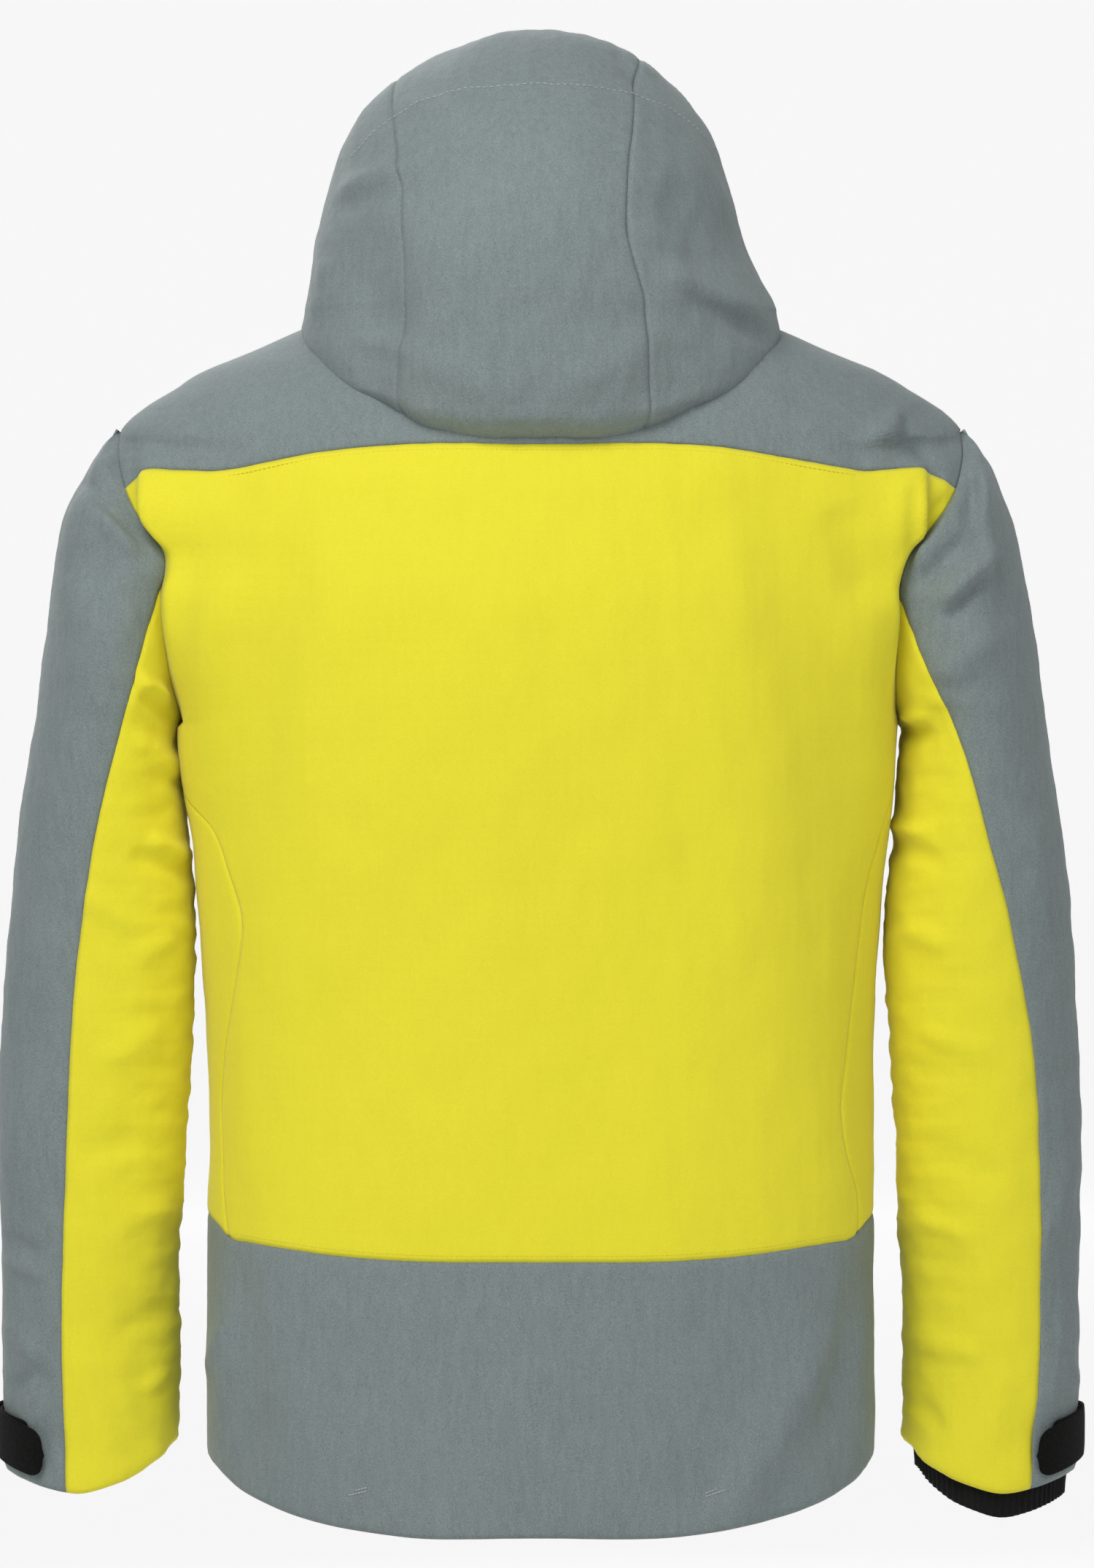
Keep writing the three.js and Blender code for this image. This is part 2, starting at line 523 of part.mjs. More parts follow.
const TAB_LOW = CUFF + 14;
const bodyKeepOut = offset(bodyForm, ARMHOLE_GAP);
SIDES.forEach(([label, side], i) => {
  const form = sleeveForms[i];
  const shell = layer(form, 0, SHELL_WALL).subtract(bodyKeepOut)
    .subtract(sidePrism(cuffOutline(0), side));
  const lining = layer(form, LINING_DEPTH, LINING_WALL).subtract(bodyKeepOut)
    .subtract(sidePrism(cuffOutline(GAITER_LENGTH - GAITER_DROP + 12), side));
  const gaiter = layer(form, LINING_DEPTH, GAITER_WALL)
    .subtract(sidePrism(cuffOutline(-GAITER_DROP), side))
    .intersect(sidePrism(cuffOutline(GAITER_LENGTH - GAITER_DROP), side));
  const patch = cuffBand(side, [-20, 48], 2 * GAP, PATCH_THICKNESS, TAB_LOW - 2, PATCH_HEIGHT);
  const tab = cuffBand(
    side, [TAB_ROOT_ANGLE, 54], PATCH_THICKNESS + 4 * GAP, TAB_THICKNESS, TAB_LOW, TAB_HEIGHT,
  );
  add(`sleeve_outer_panel_${label}`, shell.subtract(sidePrism(yellowOutline(half), side)), GREY_SHELL);
  add(`sleeve_inner_panel_${label}`, shell.intersect(sidePrism(yellowOutline(-half), side)), YELLOW_SHELL);
  add(`sleeve_lining_${label}`, lining, LINING);
  add(`wrist_gaiter_${label}`, gaiter, KNIT);
  add(`cuff_loop_patch_${label}`, patch, LOOP_PILE);
  add(`cuff_tab_${label}`, tab, LOOP_PILE);
});

// A lift-pass pocket on the front of the left forearm.
function sleeveFront(x, height) {
  const [middle, halfWidth, back, front] = cuffAt(height);
  const rise = Math.sqrt(1 - ((x - middle) / halfWidth) ** 2);
  return (back + front) / 2 - rise * (back - front) / 2;
}
const passX = cuffAt(CUFF + 160)[0] + 6;
addPocketZip('pass_pocket_zip', 'pass_pocket', [
  [passX, CUFF + 90], [passX, CUFF + 190],
], sleeveFront);

// ---- Hood ----
// The hood's free lower edge, a shallow U across the yoke.
const hoodEdge = (rise) => [
  [-FAR, UNDER + 64 + rise], [-0.985 * HOOD_HALF_WIDTH, UNDER + 60 + rise],
  [-0.91 * HOOD_HALF_WIDTH, UNDER + 44 + rise], [-0.77 * HOOD_HALF_WIDTH, UNDER + 24 + rise],
  [-0.5 * HOOD_HALF_WIDTH, UNDER + 6 + rise], [-0.3 * HOOD_HALF_WIDTH, UNDER + rise],
  [0.3 * HOOD_HALF_WIDTH, UNDER + rise], [0.5 * HOOD_HALF_WIDTH, UNDER + 6 + rise],
  [0.77 * HOOD_HALF_WIDTH, UNDER + 24 + rise], [0.91 * HOOD_HALF_WIDTH, UNDER + 44 + rise],
  [0.985 * HOOD_HALF_WIDTH, UNDER + 60 + rise], [FAR, UNDER + 64 + rise],
];
const MOUTH_TOP = CROWN - 58;
const mouth = prism([
  [-MOUTH_HALF_WIDTH, UNDER - 60], [MOUTH_HALF_WIDTH, UNDER - 60],
  [MOUTH_HALF_WIDTH, MOUTH_TOP - 70], [0.8 * MOUTH_HALF_WIDTH, MOUTH_TOP - 24],
  [0.5 * MOUTH_HALF_WIDTH, MOUTH_TOP], [-0.5 * MOUTH_HALF_WIDTH, MOUTH_TOP],
  [-0.8 * MOUTH_HALF_WIDTH, MOUTH_TOP - 24], [-MOUTH_HALF_WIDTH, MOUTH_TOP - 70],
], -FAR, -20);
const hoodKeepOut = offset(bodyForm, HOOD_CLEARANCE);
const hoodRegion = prism(between(hoodEdge(0), flatLine(FAR)), -FAR, FAR);
const hoodShell = layer(hoodForm, 0, HOOD_WALL).subtract(hoodKeepOut).subtract(mouth)
  .intersect(hoodRegion);
const brimY = HOOD_BRIM_DEPTH - HOOD_FRONT;
const middleWidth = HOOD_SEAM_X - GAP;
add('hood_centre_panel', hoodShell.intersect(
  box(-middleWidth, middleWidth, brimY + half, FAR, -FAR, FAR),
), GREY_SHELL);
add('hood_brim', hoodShell.intersect(
  box(-middleWidth, middleWidth, -FAR, brimY - half, MOUTH_TOP - 30, FAR),
), GREY_SHELL);
add('hood_side_left', hoodShell.intersect(box(HOOD_SEAM_X, FAR, -FAR, FAR, -FAR, FAR)), GREY_SHELL);
add('hood_side_right', hoodShell.intersect(box(-FAR, -HOOD_SEAM_X, -FAR, FAR, -FAR, FAR)), GREY_SHELL);
add('hood_lining', layer(hoodForm, HOOD_WALL + GAP, LINING_WALL).subtract(hoodKeepOut)
  .subtract(mouth).intersect(prism(between(hoodEdge(8), flatLine(FAR)), -FAR, FAR)), LINING);

// ---- Hem cord and cord locks ----
const CORD_HEIGHT = SIDE_HEM + 6;
const CORD_SIDE = HEM_HALF_WIDTH - CORD_INSET;
const cordPoints = Array.from({ length: 25 }, (_, i) => {
  const turn = THREE.MathUtils.degToRad(-68 + (i / 24) * 316);
  const [, , back, front, power] = stationAt(bodyStations, CORD_HEIGHT);
  const [c, s] = [Math.cos(turn), Math.sin(turn)];
  const norm = (Math.abs(c) ** power + Math.abs(s) ** power) ** (-1 / power);
  const depth = (back - front) / 2 - CORD_INSET;
  return new THREE.Vector3(c * norm * CORD_SIDE, (back + front) / 2 + s * norm * depth, CORD_HEIGHT);
});
function cordTube(radius) {
  const section = new THREE.Shape();
  section.absarc(0, 0, radius, 0, 2 * Math.PI);
  return new THREE.ExtrudeGeometry(section, {
    steps: 30, curveSegments: 3, bevelEnabled: false,
    extrudePath: new THREE.CatmullRomCurve3(cordPoints),
  });
}
addGeometry('hem_cord', cordTube(CORD_RADIUS), KNIT);
const cordBore = solid(cordTube(CORD_RADIUS + GAP));

// A lock barrel with a well in its top, and the button that slides in the well, turned about Z.
function addLock(barrelName, buttonName, at, yaw, keepOut) {
  const [w, d, h] = LOCK_SIZE;
  const [bw, bd, bh] = BUTTON_SIZE;
  const seat = h / 2 + BUTTON_STAND - bh;
  const place = (geometry) => solid(geometry.rotateZ(yaw).translate(at.x, at.y, at.z));
  const barrel = place(boxGeometry(-w / 2, w / 2, -d / 2, d / 2, -h / 2, h / 2));
  const well = place(boxGeometry(
    -bw / 2 - GAP, bw / 2 + GAP, -bd / 2 - GAP, bd / 2 + GAP, seat - BUTTON_TRAVEL - GAP, h / 2 + 1,
  ));
  const button = place(boxGeometry(-bw / 2, bw / 2, -bd / 2, bd / 2, seat, seat + bh));
  const hollow = barrel.subtract(well);
  add(barrelName, hollow.subtract(keepOut), MOULDED);
  add(buttonName, button, MOULDED);
}

const hoodLockHeight = UNDER + 86;
for (const [label, side] of SIDES) {
  const nearest = cordPoints.filter((point) => point.y < 0).reduce((best, point) => (
    Math.abs(point.x - side * HEM_LOCK_X) < Math.abs(best.x - side * HEM_LOCK_X) ? point : best
  ));
  addLock(`hem_cord_lock_${label}`, `hem_lock_button_${label}`, new THREE.Vector3(
    side * HEM_LOCK_X, nearest.y + 1, CORD_HEIGHT + 2,
  ), 0, cordBore);
  const slope = (hoodFront(HOOD_LOCK_X + 4, hoodLockHeight)
    - hoodFront(HOOD_LOCK_X - 4, hoodLockHeight)) / 8;
  const yaw = side * Math.atan(slope);
  const stand = LOCK_SIZE[1] / 2 + GAP;
  addLock(`hood_cord_lock_${label}`, `hood_lock_button_${label}`, new THREE.Vector3(
    side * HOOD_LOCK_X + Math.sin(yaw) * stand,
    hoodFront(HOOD_LOCK_X, hoodLockHeight) - Math.cos(yaw) * stand,
    hoodLockHeight,
  ), yaw, hoodKeepOut);
}

// ---- Hanger loop: a flat strap standing off the inside of the back neck ----
const loopY = NECK_DEPTH - LOOP_INSET;
const loopOutline = new THREE.Shape([
  [-LOOP_LENGTH / 2, loopY + 4], [-LOOP_LENGTH / 2 + 9, loopY - 3], [LOOP_LENGTH / 2 - 9, loopY - 3],
  [LOOP_LENGTH / 2, loopY + 4], [LOOP_LENGTH / 2 - 3, loopY + 5.5], [LOOP_LENGTH / 2 - 10, loopY],
  [10 - LOOP_LENGTH / 2, loopY], [3 - LOOP_LENGTH / 2, loopY + 5.5],
].map(([x, y]) => new THREE.Vector2(x, y)));
addGeometry('hanger_loop', new THREE.ExtrudeGeometry(loopOutline, {
  depth: LOOP_STRAP, bevelEnabled: false,
}).translate(0, 0, NECK - LOOP_STRAP / 2), KNIT);

export default jacket;
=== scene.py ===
"""Ski jacket: the sewn shell, linings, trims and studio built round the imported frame.

Shapes are worked out in millimetres with heights above a datum just under the hem, and moved into
the frame, in metres, when a mesh is made. +X is the wearer's left and +Y is the back.
"""

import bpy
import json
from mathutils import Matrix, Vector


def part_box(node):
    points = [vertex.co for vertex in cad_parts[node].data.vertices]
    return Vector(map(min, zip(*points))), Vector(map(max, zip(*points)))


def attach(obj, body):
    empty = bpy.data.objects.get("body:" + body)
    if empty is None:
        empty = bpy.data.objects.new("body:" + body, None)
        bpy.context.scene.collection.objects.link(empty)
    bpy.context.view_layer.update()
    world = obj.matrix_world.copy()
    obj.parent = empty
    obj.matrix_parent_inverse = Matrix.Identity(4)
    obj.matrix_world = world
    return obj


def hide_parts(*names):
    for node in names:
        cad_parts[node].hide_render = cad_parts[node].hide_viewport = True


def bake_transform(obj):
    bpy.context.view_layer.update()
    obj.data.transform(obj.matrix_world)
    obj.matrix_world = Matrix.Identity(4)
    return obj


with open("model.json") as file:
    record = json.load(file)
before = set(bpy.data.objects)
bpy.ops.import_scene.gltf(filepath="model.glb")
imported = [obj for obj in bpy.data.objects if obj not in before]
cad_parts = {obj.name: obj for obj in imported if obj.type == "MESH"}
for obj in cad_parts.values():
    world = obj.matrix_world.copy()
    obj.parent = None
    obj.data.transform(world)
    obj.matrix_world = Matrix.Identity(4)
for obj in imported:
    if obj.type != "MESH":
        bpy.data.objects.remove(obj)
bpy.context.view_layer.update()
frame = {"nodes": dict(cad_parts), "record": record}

import json
import logging
import math
from collections.abc import Callable, Sequence
from dataclasses import dataclass, field
from enum import Enum

import bpy
import numpy as np

Array = np.ndarray
Curve = Callable[[Array], Array]
log = logging.getLogger("jacket")

MM = 0.001
ORIGIN = np.array([0.0, 45.0, 818.0])
CENTRE_FRONT = -math.pi / 2
GRID_STEP = 3.2


# ---------------------------------------------------------------- numbers and surfaces
def smooth(low: float, high: float, at: Array) -> Array:
    """Cubic step from 0 at low to 1 at high: 3t squared less 2t cubed.

    Args:
        low: Where the step starts.
        high: Where it ends; it may be below low.
        at: The values to step.

    Returns:
        The step, from 0 to 1.
    """
    share = np.clip((at - low) / (high - low), 0, 1)
    return share * share * (3 - 2 * share)


def through(knots: Sequence[Sequence[float]], at: Array) -> Array:
    """Cubic Hermite curve through rows of (place, value, ...), with slopes from its neighbours.

    Args:
        knots: Rows that start with a rising place.
        at: Places to read the curve at.

    Returns:
        An array of at's shape with one last axis entry for each value in a row.
    """
    table = np.asarray(knots, float)
    place, value = table[:, 0], table[:, 1:]
    slope = np.gradient(value, place, axis=0)
    index = np.clip(np.searchsorted(place, at) - 1, 0, len(place) - 2)
    gap = (place[index + 1] - place[index])[..., None]
    t = np.clip((at - place[index])[..., None] / gap, 0, 1)
    start = (2 * t**3 - 3 * t**2 + 1) * value[index] + (t**3 - 2 * t**2 + t) * gap * slope[index]
    return start + (3 * t**2 - 2 * t**3) * value[index + 1] + (t**3 - t**2) * gap * slope[index + 1]


def curve(*knots: tuple[float, float]) -> Curve:
    """A one-valued smooth curve through (place, value) knots."""
    return lambda at: through(knots, np.asarray(at, float))[..., 0]


def even(*knots: tuple[float, float]) -> Curve:
    """The same curve read at the distance from the centre line."""
    inner = curve(*knots)
    return lambda at: inner(np.abs(at))


def unit(vectors: Array) -> Array:
    """Vectors divided by their lengths."""
    return vectors / np.maximum(np.linalg.norm(vectors, axis=-1, keepdims=True), 1e-9)


def grid_normals(points: Array) -> Array:
    """Unit normals of a grid: the cross product of its two central differences."""
    along_u = np.gradient(points, axis=0)
    along_v = np.gradient(points, axis=1)
    return unit(np.cross(along_u, along_v))


def edge_distance(points: Array) -> tuple[Array, Array, Array, Array]:
    """Distance along the grid lines from each of a grid's four edges.

    Args:
        points: Grid of points, first axis u, second axis v.

    Returns:
        Distances from u's start, u's end, v's start and v's end.
    """
    step_u = np.linalg.norm(np.diff(points, axis=0), axis=-1)
    step_v = np.linalg.norm(np.diff(points, axis=1), axis=-1)
    run_u = np.vstack([np.zeros((1, points.shape[1])), np.cumsum(step_u, axis=0)])
    run_v = np.hstack([np.zeros((points.shape[0], 1)), np.cumsum(step_v, axis=1)])
    return run_u, run_u[-1:] - run_u, run_v, run_v[:, -1:] - run_v


class Edge(Enum):
    """How a panel's edge is finished."""

    SEAM = "seam"
    TURNED = "turned"
    PLAIN = "plain"


SEAM_DEPTH = 0.9
SEAM_WIDTH = 2.4
TURN_DEPTH = 1.6
TURN_WIDTH = 2.2


def finish_edges(
    points: Array, edges: Sequence[Edge], side: float = 1.0, keep: Array | float = 1.0
) -> Array:
    """Sinks a panel's edges: lift = -depth * exp(-(distance / width) squared) at each edge.

    Args:
        points: Grid of points.
        edges: The four edges' finishes, in edge_distance's order.
        side: 1, or -1 where the grid's normals point inwards.
        keep: Share of the sinking that is kept at each point.

    Returns:
        The moved grid.
    """
    lift = np.zeros(points.shape[:2])
    for kind, distance in zip(edges, edge_distance(points)):
        if kind is Edge.SEAM:
            lift -= SEAM_DEPTH * np.exp(-((distance / SEAM_WIDTH) ** 2))
        if kind is Edge.TURNED:
            lift -= TURN_DEPTH * np.exp(-((distance / TURN_WIDTH) ** 2))
    return points + side * grid_normals(points) * (lift * keep)[..., None]


# ---------------------------------------------------------------- forms
@dataclass(frozen=True)
class Form:
    """A smooth upright form made of superellipses.

    Attributes:
        rows: Height, middle x, half-width, back y, front y and exponent, rising in height.
    """

    rows: tuple[tuple[float, ...], ...]

    def section(self, height: Array) -> tuple[Array, ...]:
        """Middle x, half-width, middle y, half-depth and exponent at a height."""
        values = through(self.rows, np.asarray(height, float))
        middle, half, back, front, power = np.moveaxis(values, -1, 0)
        return middle, half, (back + front) / 2, (back - front) / 2, power

    def place(self, turn: Array, height: Array) -> Array:
        """The surface: each axis is the turn's cosine or sine over its superellipse norm.

        Args:
            turn: Angle about the section's middle, 0 at +X and a quarter turn at the back.
            height: Height above the datum.

        Returns:
            Points, with x, y and z on the last axis.
        """
        turn, height = np.broadcast_arrays(np.asarray(turn, float), np.asarray(height, float))
        middle, half, centre, depth, power = self.section(height)
        cosine, sine = np.cos(turn), np.sin(turn)
        norm = (np.abs(cosine) ** power + np.abs(sine) ** power) ** (-1 / power)
        return np.stack([middle + half * cosine * norm, centre + depth * sine * norm, height], -1)

    def normal(self, turn: Array, height: Array) -> Array:
        """Outward unit normals, from small steps in turn and in height."""
        small, step = 0.004, 1.0
        across = self.place(turn + small, height) - self.place(turn - small, height)
        up = self.place(turn, height + step) - self.place(turn, height - step)
        return unit(np.cross(across, up))

    def turn_at(self, x: Array, height: Array) -> Array:
        """The turn on the back half, in front of the side, where the surface has this x."""
        middle, half, _, _, power = self.section(height)
        cosine = np.clip((x - middle) / half, -0.9999, 0.9999)
        sine = (1 - np.abs(cosine) ** power) ** (1 / power)
        return np.arctan2(sine, cosine)

    def inside(self, points: Array) -> Array:
        """The superellipse value of points: below 1 inside the form, above 1 outside."""
        middle, half, centre, depth, power = self.section(points[..., 2])
        return (
            np.abs((points[..., 0] - middle) / half) ** power
            + np.abs((points[..., 1] - centre) / depth) ** power
        )


def front_line(height: float) -> float:
    """The straight front edge's y at a height."""
    return 0.045 * height - 158


def _body_rows() -> tuple[tuple[float, ...], ...]:
    """The trunk's sections, with the straight front edge filled in."""
    rows = (
        (-20, 218, 138, 2.6), (90, 217.5, 138, 2.6), (187, 218, 136, 2.6), (332, 219, 130, 2.5),
        (430, 224, 133, 2.45), (502, 230, 138, 2.4), (560, 235, 142, 2.35), (610, 240, 143, 2.3),
        (662, 263, 137, 2.1), (690, 272, 133, 2.0), (708, 275, 128, 1.9), (722, 274, 123, 1.9),
        (730, 267, 119, 1.9), (738, 257.5, 115, 1.9), (750, 240, 108, 1.9), (760, 223, 102, 1.9),
        (774, 190, 93, 1.9), (789, 156, 85, 1.9),
        (802, 122, 75, 1.95), (812, 92, 66, 2), (818, 80, 62, 2), (840, 79, 60, 2), (868, 78, 58, 2),
    )
    return tuple((h, 0.0, half, back, front_line(h), power) for h, half, back, power in rows)


BODY = Form(_body_rows())
_SLEEVE_ROWS = (
    (-20, 237, 351, 50, -15), (90, 236.5, 351.5, 50, -14), (200, 235, 353, 53, -12), (300, 229, 353, 57, -9),
    (400, 225, 347.5, 62, -5), (500, 233, 335, 72, -3), (530, 234, 330.5, 75, -2), (560, 222, 327, 79, -1),
    (600, 204, 321, 80, 0), (640, 194, 314, 78, 0), (670, 196, 306, 72, 0), (690, 206, 298, 61, 0),
    (705, 224, 290, 45, 0), (716, 245, 282.5, 27, 0), (726, 264, 270, 8, 0),
)


def _sleeve_form() -> Form:
    """The left sleeve's form, from rows of height, inner x, outer x, half-depth and middle y."""
    rows = []
    for height, inner, outer, depth, middle in _SLEEVE_ROWS:
        rows.append((height, (inner + outer) / 2, (outer - inner) / 2, middle + depth, middle - depth, 2.0))
    return Form(tuple(rows))


SLEEVE = _sleeve_form()
ARMPIT = 532.0
ARM_TOP = 722.0
SHOULDER_TURN = 0.02


class Armhole:
    """Where the sleeve's form meets the trunk's form, and how far the sewn seam lies from there."""

    SAMPLES = 80
    FINE = 720
    SEAM_X = {
        1: curve((532, 233.5), (540, 235), (556, 239), (575, 242), (600, 245), (616, 245), (628, 242.5),
                 (640, 243), (655, 253), (668, 262), (682, 268.5), (695, 272.5), (708, 274.5), (722, 273.8)),
        -1: curve((532, 233), (540, 231.5), (556, 230.5), (575, 231), (600, 232), (620, 232.5), (638, 238),
                  (655, 251), (668, 261), (682, 268.5), (695, 272.5), (708, 274.5), (722, 273.8)),
    }
    SEAM_Y = staticmethod(curve((532, 2), (540, 21), (556, 40), (580, 55), (604, 64), (620, 67), (638, 68),
                                (655, 66), (668, 62), (682, 54), (695, 42), (708, 26), (716, 12), (722, 1)))
    FRONT_SHARE = -0.95

    def __init__(self) -> None:
        """Finds the crossing turns at evenly spaced heights."""
        self.heights = np.linspace(ARMPIT, ARM_TOP, self.SAMPLES)
        turns = np.linspace(0, math.pi, self.FINE)
        grid_h = self.heights[None, :]
        body = BODY.place(turns[:, None] / 2, grid_h)
        self.back = self._last(SLEEVE.inside(body) < 1, turns / 2)
        body = BODY.place(-turns[:, None] / 2, grid_h)
        self.front = self._last(SLEEVE.inside(body) < 1, turns / 2)
        ring = SLEEVE.place(turns[:, None], grid_h)
        self.arm_back = self._first(BODY.inside(ring) < 1, turns)
        ring = SLEEVE.place(-turns[:, None], grid_h)
        self.arm_front = self._first(BODY.inside(ring) < 1, turns)
        to_ridge = smooth(ARM_TOP, ARM_TOP - 14, self.heights)
        self.back = SHOULDER_TURN + (self.back - SHOULDER_TURN) * to_ridge
        self.front = SHOULDER_TURN + (self.front - SHOULDER_TURN) * to_ridge

    @staticmethod
    def _last(mask: Array, turns: Array) -> Array:
        """The last turn in each column where the mask holds, or 0."""
        found = mask.shape[0] - 1 - np.argmax(mask[::-1], axis=0)
        return np.where(mask.any(axis=0), turns[found], 0.0)

    @staticmethod
    def _first(mask: Array, turns: Array) -> Array:
        """The first turn in each column where the mask holds, or half a turn."""
        return np.where(mask.any(axis=0), turns[np.argmax(mask, axis=0)], math.pi)

    def read(self, values: Array, height: Array) -> Array:
        """One of the stored turns at a height, by straight lines between samples."""
        return np.interp(height, self.heights, values)

    def seam(self, side: int, height: Array, front: bool) -> Array:
        """The sewn seam's points at heights between the armpit and the shoulder."""
        along = self.SEAM_Y(height) * (self.FRONT_SHARE if front else 1.0)
        return np.stack([self.SEAM_X[side](height), along, height], -1)

    def body_shift(self, side: int, height: Array, front: bool) -> Array:
        """From the trunk form's crossing to the sewn seam; 0 beyond the armhole.

        Args:
            side: 1 for the left, -1 for the right.
            height: Heights above the datum.
            front: Whether the front half of the seam is wanted.

        Returns:
            Moves in x, y and z.
        """
        level = np.clip(height, ARMPIT, ARM_TOP)
        turn = self.read(self.front if front else self.back, level)
        move = self.seam(side, level, front) - BODY.place(-turn if front else turn, level)
        return move * ((height > ARMPIT) & (height < ARM_TOP))[..., None]

    def sleeve_shift(self, side: int, height: Array, front: bool) -> Array:
        """The same from the sleeve form's crossing, growing over the first 12 mm above the armpit."""
        level = np.clip(height, ARMPIT, ARM_TOP)
        turn = self.read(self.arm_front if front else self.arm_back, level)
        move = self.seam(side, level, front) - SLEEVE.place(-turn if front else turn, level)
        return move * smooth(ARMPIT, ARMPIT + 12, height)[..., None]

    def pull_body(self, side: int, turn: Array, height: Array) -> Array:
        """How the trunk's cloth moves: the seam's shift, fading over 0.6 of a radian of turn."""
        back_edge = self.read(self.back, np.clip(height, ARMPIT, ARM_TOP))
        front_edge = self.read(self.front, np.clip(height, ARMPIT, ARM_TOP))
        back = smooth(back_edge + 0.6, back_edge, turn) * (turn >= 0)
        front = smooth(front_edge + 0.6, front_edge, -turn) * (turn < 0)
        moved_back = self.body_shift(side, height, False) * back[..., None]
        return moved_back + self.body_shift(side, height, True) * front[..., None]

    def pull_sleeve(self, side: int, turn: Array, height: Array) -> Array:
        """How the sleeve's cloth moves: its shift, fading towards the sleeve's outer side."""
        level = np.clip(height, ARMPIT, ARM_TOP)
        back = smooth(0.15, 1, turn / self.read(self.arm_back, level)) * (turn >= 0)
        front = smooth(0.15, 1, -turn / self.read(self.arm_front, level)) * (turn < 0)
        moved_back = self.sleeve_shift(side, height, False) * back[..., None]
        return moved_back + self.sleeve_shift(side, height, True) * front[..., None]

    def calm(self, side: int, x: Array, height: Array) -> Array:
        """Fades folds out at the sewn seam, so that both sides of it stay together."""
        distance = np.abs(np.abs(x) - self.SEAM_X[side](np.clip(height, ARMPIT, ARM_TOP)))
        inside = (height > ARMPIT) & (height < ARM_TOP)
        return np.where(inside, smooth(0, 9, distance), 1.0)


ARMHOLE = Armhole()


# ---------------------------------------------------------------- folds
@dataclass(frozen=True)
class Fold:
    """A ridge (positive lift) or valley (negative) along a line in x and height.

    Attributes:
        start: x and height of one end.
        end: x and height of the other end.
        width: Half-width of its rounded profile.
        lift: Greatest height above the form.
        lean: How much steeper one flank is than the other, -0.9 to 0.9.
    """

    start: tuple[float, float]
    end: tuple[float, float]
    width: float
    lift: float
    lean: float = 0.0

    def height_at(self, x: Array, h: Array) -> Array:
        """lift * exp(-(across / width) squared) * a window that fades at both ends.

        Args:
            x: Places across.
            h: Heights.

        Returns:
            The fold's lift at each place.
        """
        start, end = np.array(self.start), np.array(self.end)
        length = float(np.linalg.norm(end - start))
        along_axis = (end - start) / length
        rel_x, rel_h = x - start[0], h - start[1]
        along = (rel_x * along_axis[0] + rel_h * along_axis[1]) / length
        across = -rel_x * along_axis[1] + rel_h * along_axis[0]
        width = self.width * (1 - self.lean * np.tanh(across / self.width))
        window = smooth(-0.18, 0.2, along) * smooth(1.2, 0.7, along)
        return self.lift * np.exp(-((across / width) ** 2)) * window


def ripple(x: Array, h: Array, period: float, lift: float, seed: int, stretch: float = 1.0) -> Array:
    """Soft irregular cloth: eight sine waves of near directions, each bent by another.

    Args:
        x: Places across.
        h: Heights.
        period: Wavelength of the broadest wave.
        lift: Root-mean-square height.
        seed: Picks the waves.
        stretch: How much longer the waves are along the height.

    Returns:
        The lift at each place.
    """
    source = np.random.default_rng(seed)
    total = np.zeros(np.broadcast(x, h).shape)
    for index in range(8):
        angle, phase, bend = source.uniform(0, 2 * math.pi, 3)
        wave = 2 * math.pi / (period * (0.75**index))
        axis_x, axis_h = math.cos(angle), math.sin(angle) / stretch
        warp = 0.9 * np.sin(wave * 0.6 * (axis_h * x - axis_x * h / stretch) + bend)
        total += 0.8**index * np.sin(wave * (axis_x * x + axis_h * h) + phase + warp)
    return lift * total / 1.7


FOLD_STRENGTH = 1.7
BACK_FOLDS = (
    Fold((253, 694), (243, 560), 9, 7.5, 0.55), Fold((268, 668), (252, 618), 8, -4.5),
    Fold((190, 688), (232, 594), 16, -3.2), Fold((214, 640), (226, 470), 17, 3.0),
    Fold((168, 640), (196, 420), 22, -2.4), Fold((120, 660), (150, 360), 34, 1.8),
    Fold((238, 540), (231, 400), 10, 3.2), Fold((207, 400), (214, 230), 12, -2.0),
    Fold((-243, 692), (-236, 560), 9, 8.0, -0.55), Fold((-240, 684), (-236, 636), 6, -4.0),
    Fold((-262, 672), (-246, 630), 8, -4.5), Fold((-193, 664), (-211, 610), 13, -3.4),
    Fold((-215, 640), (-222, 450), 16, 2.8), Fold((-160, 655), (-190, 430), 24, -2.4),
    Fold((-112, 650), (-140, 380), 34, 1.8), Fold((-204, 420), (-212, 240), 12, -2.0),
    Fold((-206, 706), (-235, 731), 9, 4.5, -0.3), Fold((-234, 729), (-249, 700), 6, -4.6),
    Fold((-246, 738), (-268, 708), 7, -3.0), Fold((-218, 712), (-200, 700), 10, -2.0),
    Fold((222, 716), (258, 706), 12, 2.0), Fold((150, 748), (215, 738), 20, 1.5),
)
HEM_FOLDS = (
    Fold((-120, 20), (-196, 150), 13, 2.6), Fold((-96, 30), (-150, 165), 16, -2.2),
    Fold((-176, 60), (-208, 176), 9, -2.4), Fold((-205, 40), (-206, 170), 8, 2.2),
    Fold((206, 60), (203, 180), 10, 2.4), Fold((182, 40), (190, 176), 12, -1.8),
    Fold((130, 16), (160, 120), 18, 1.6), Fold((214, 110), (196, 150), 6, 1.8),
)
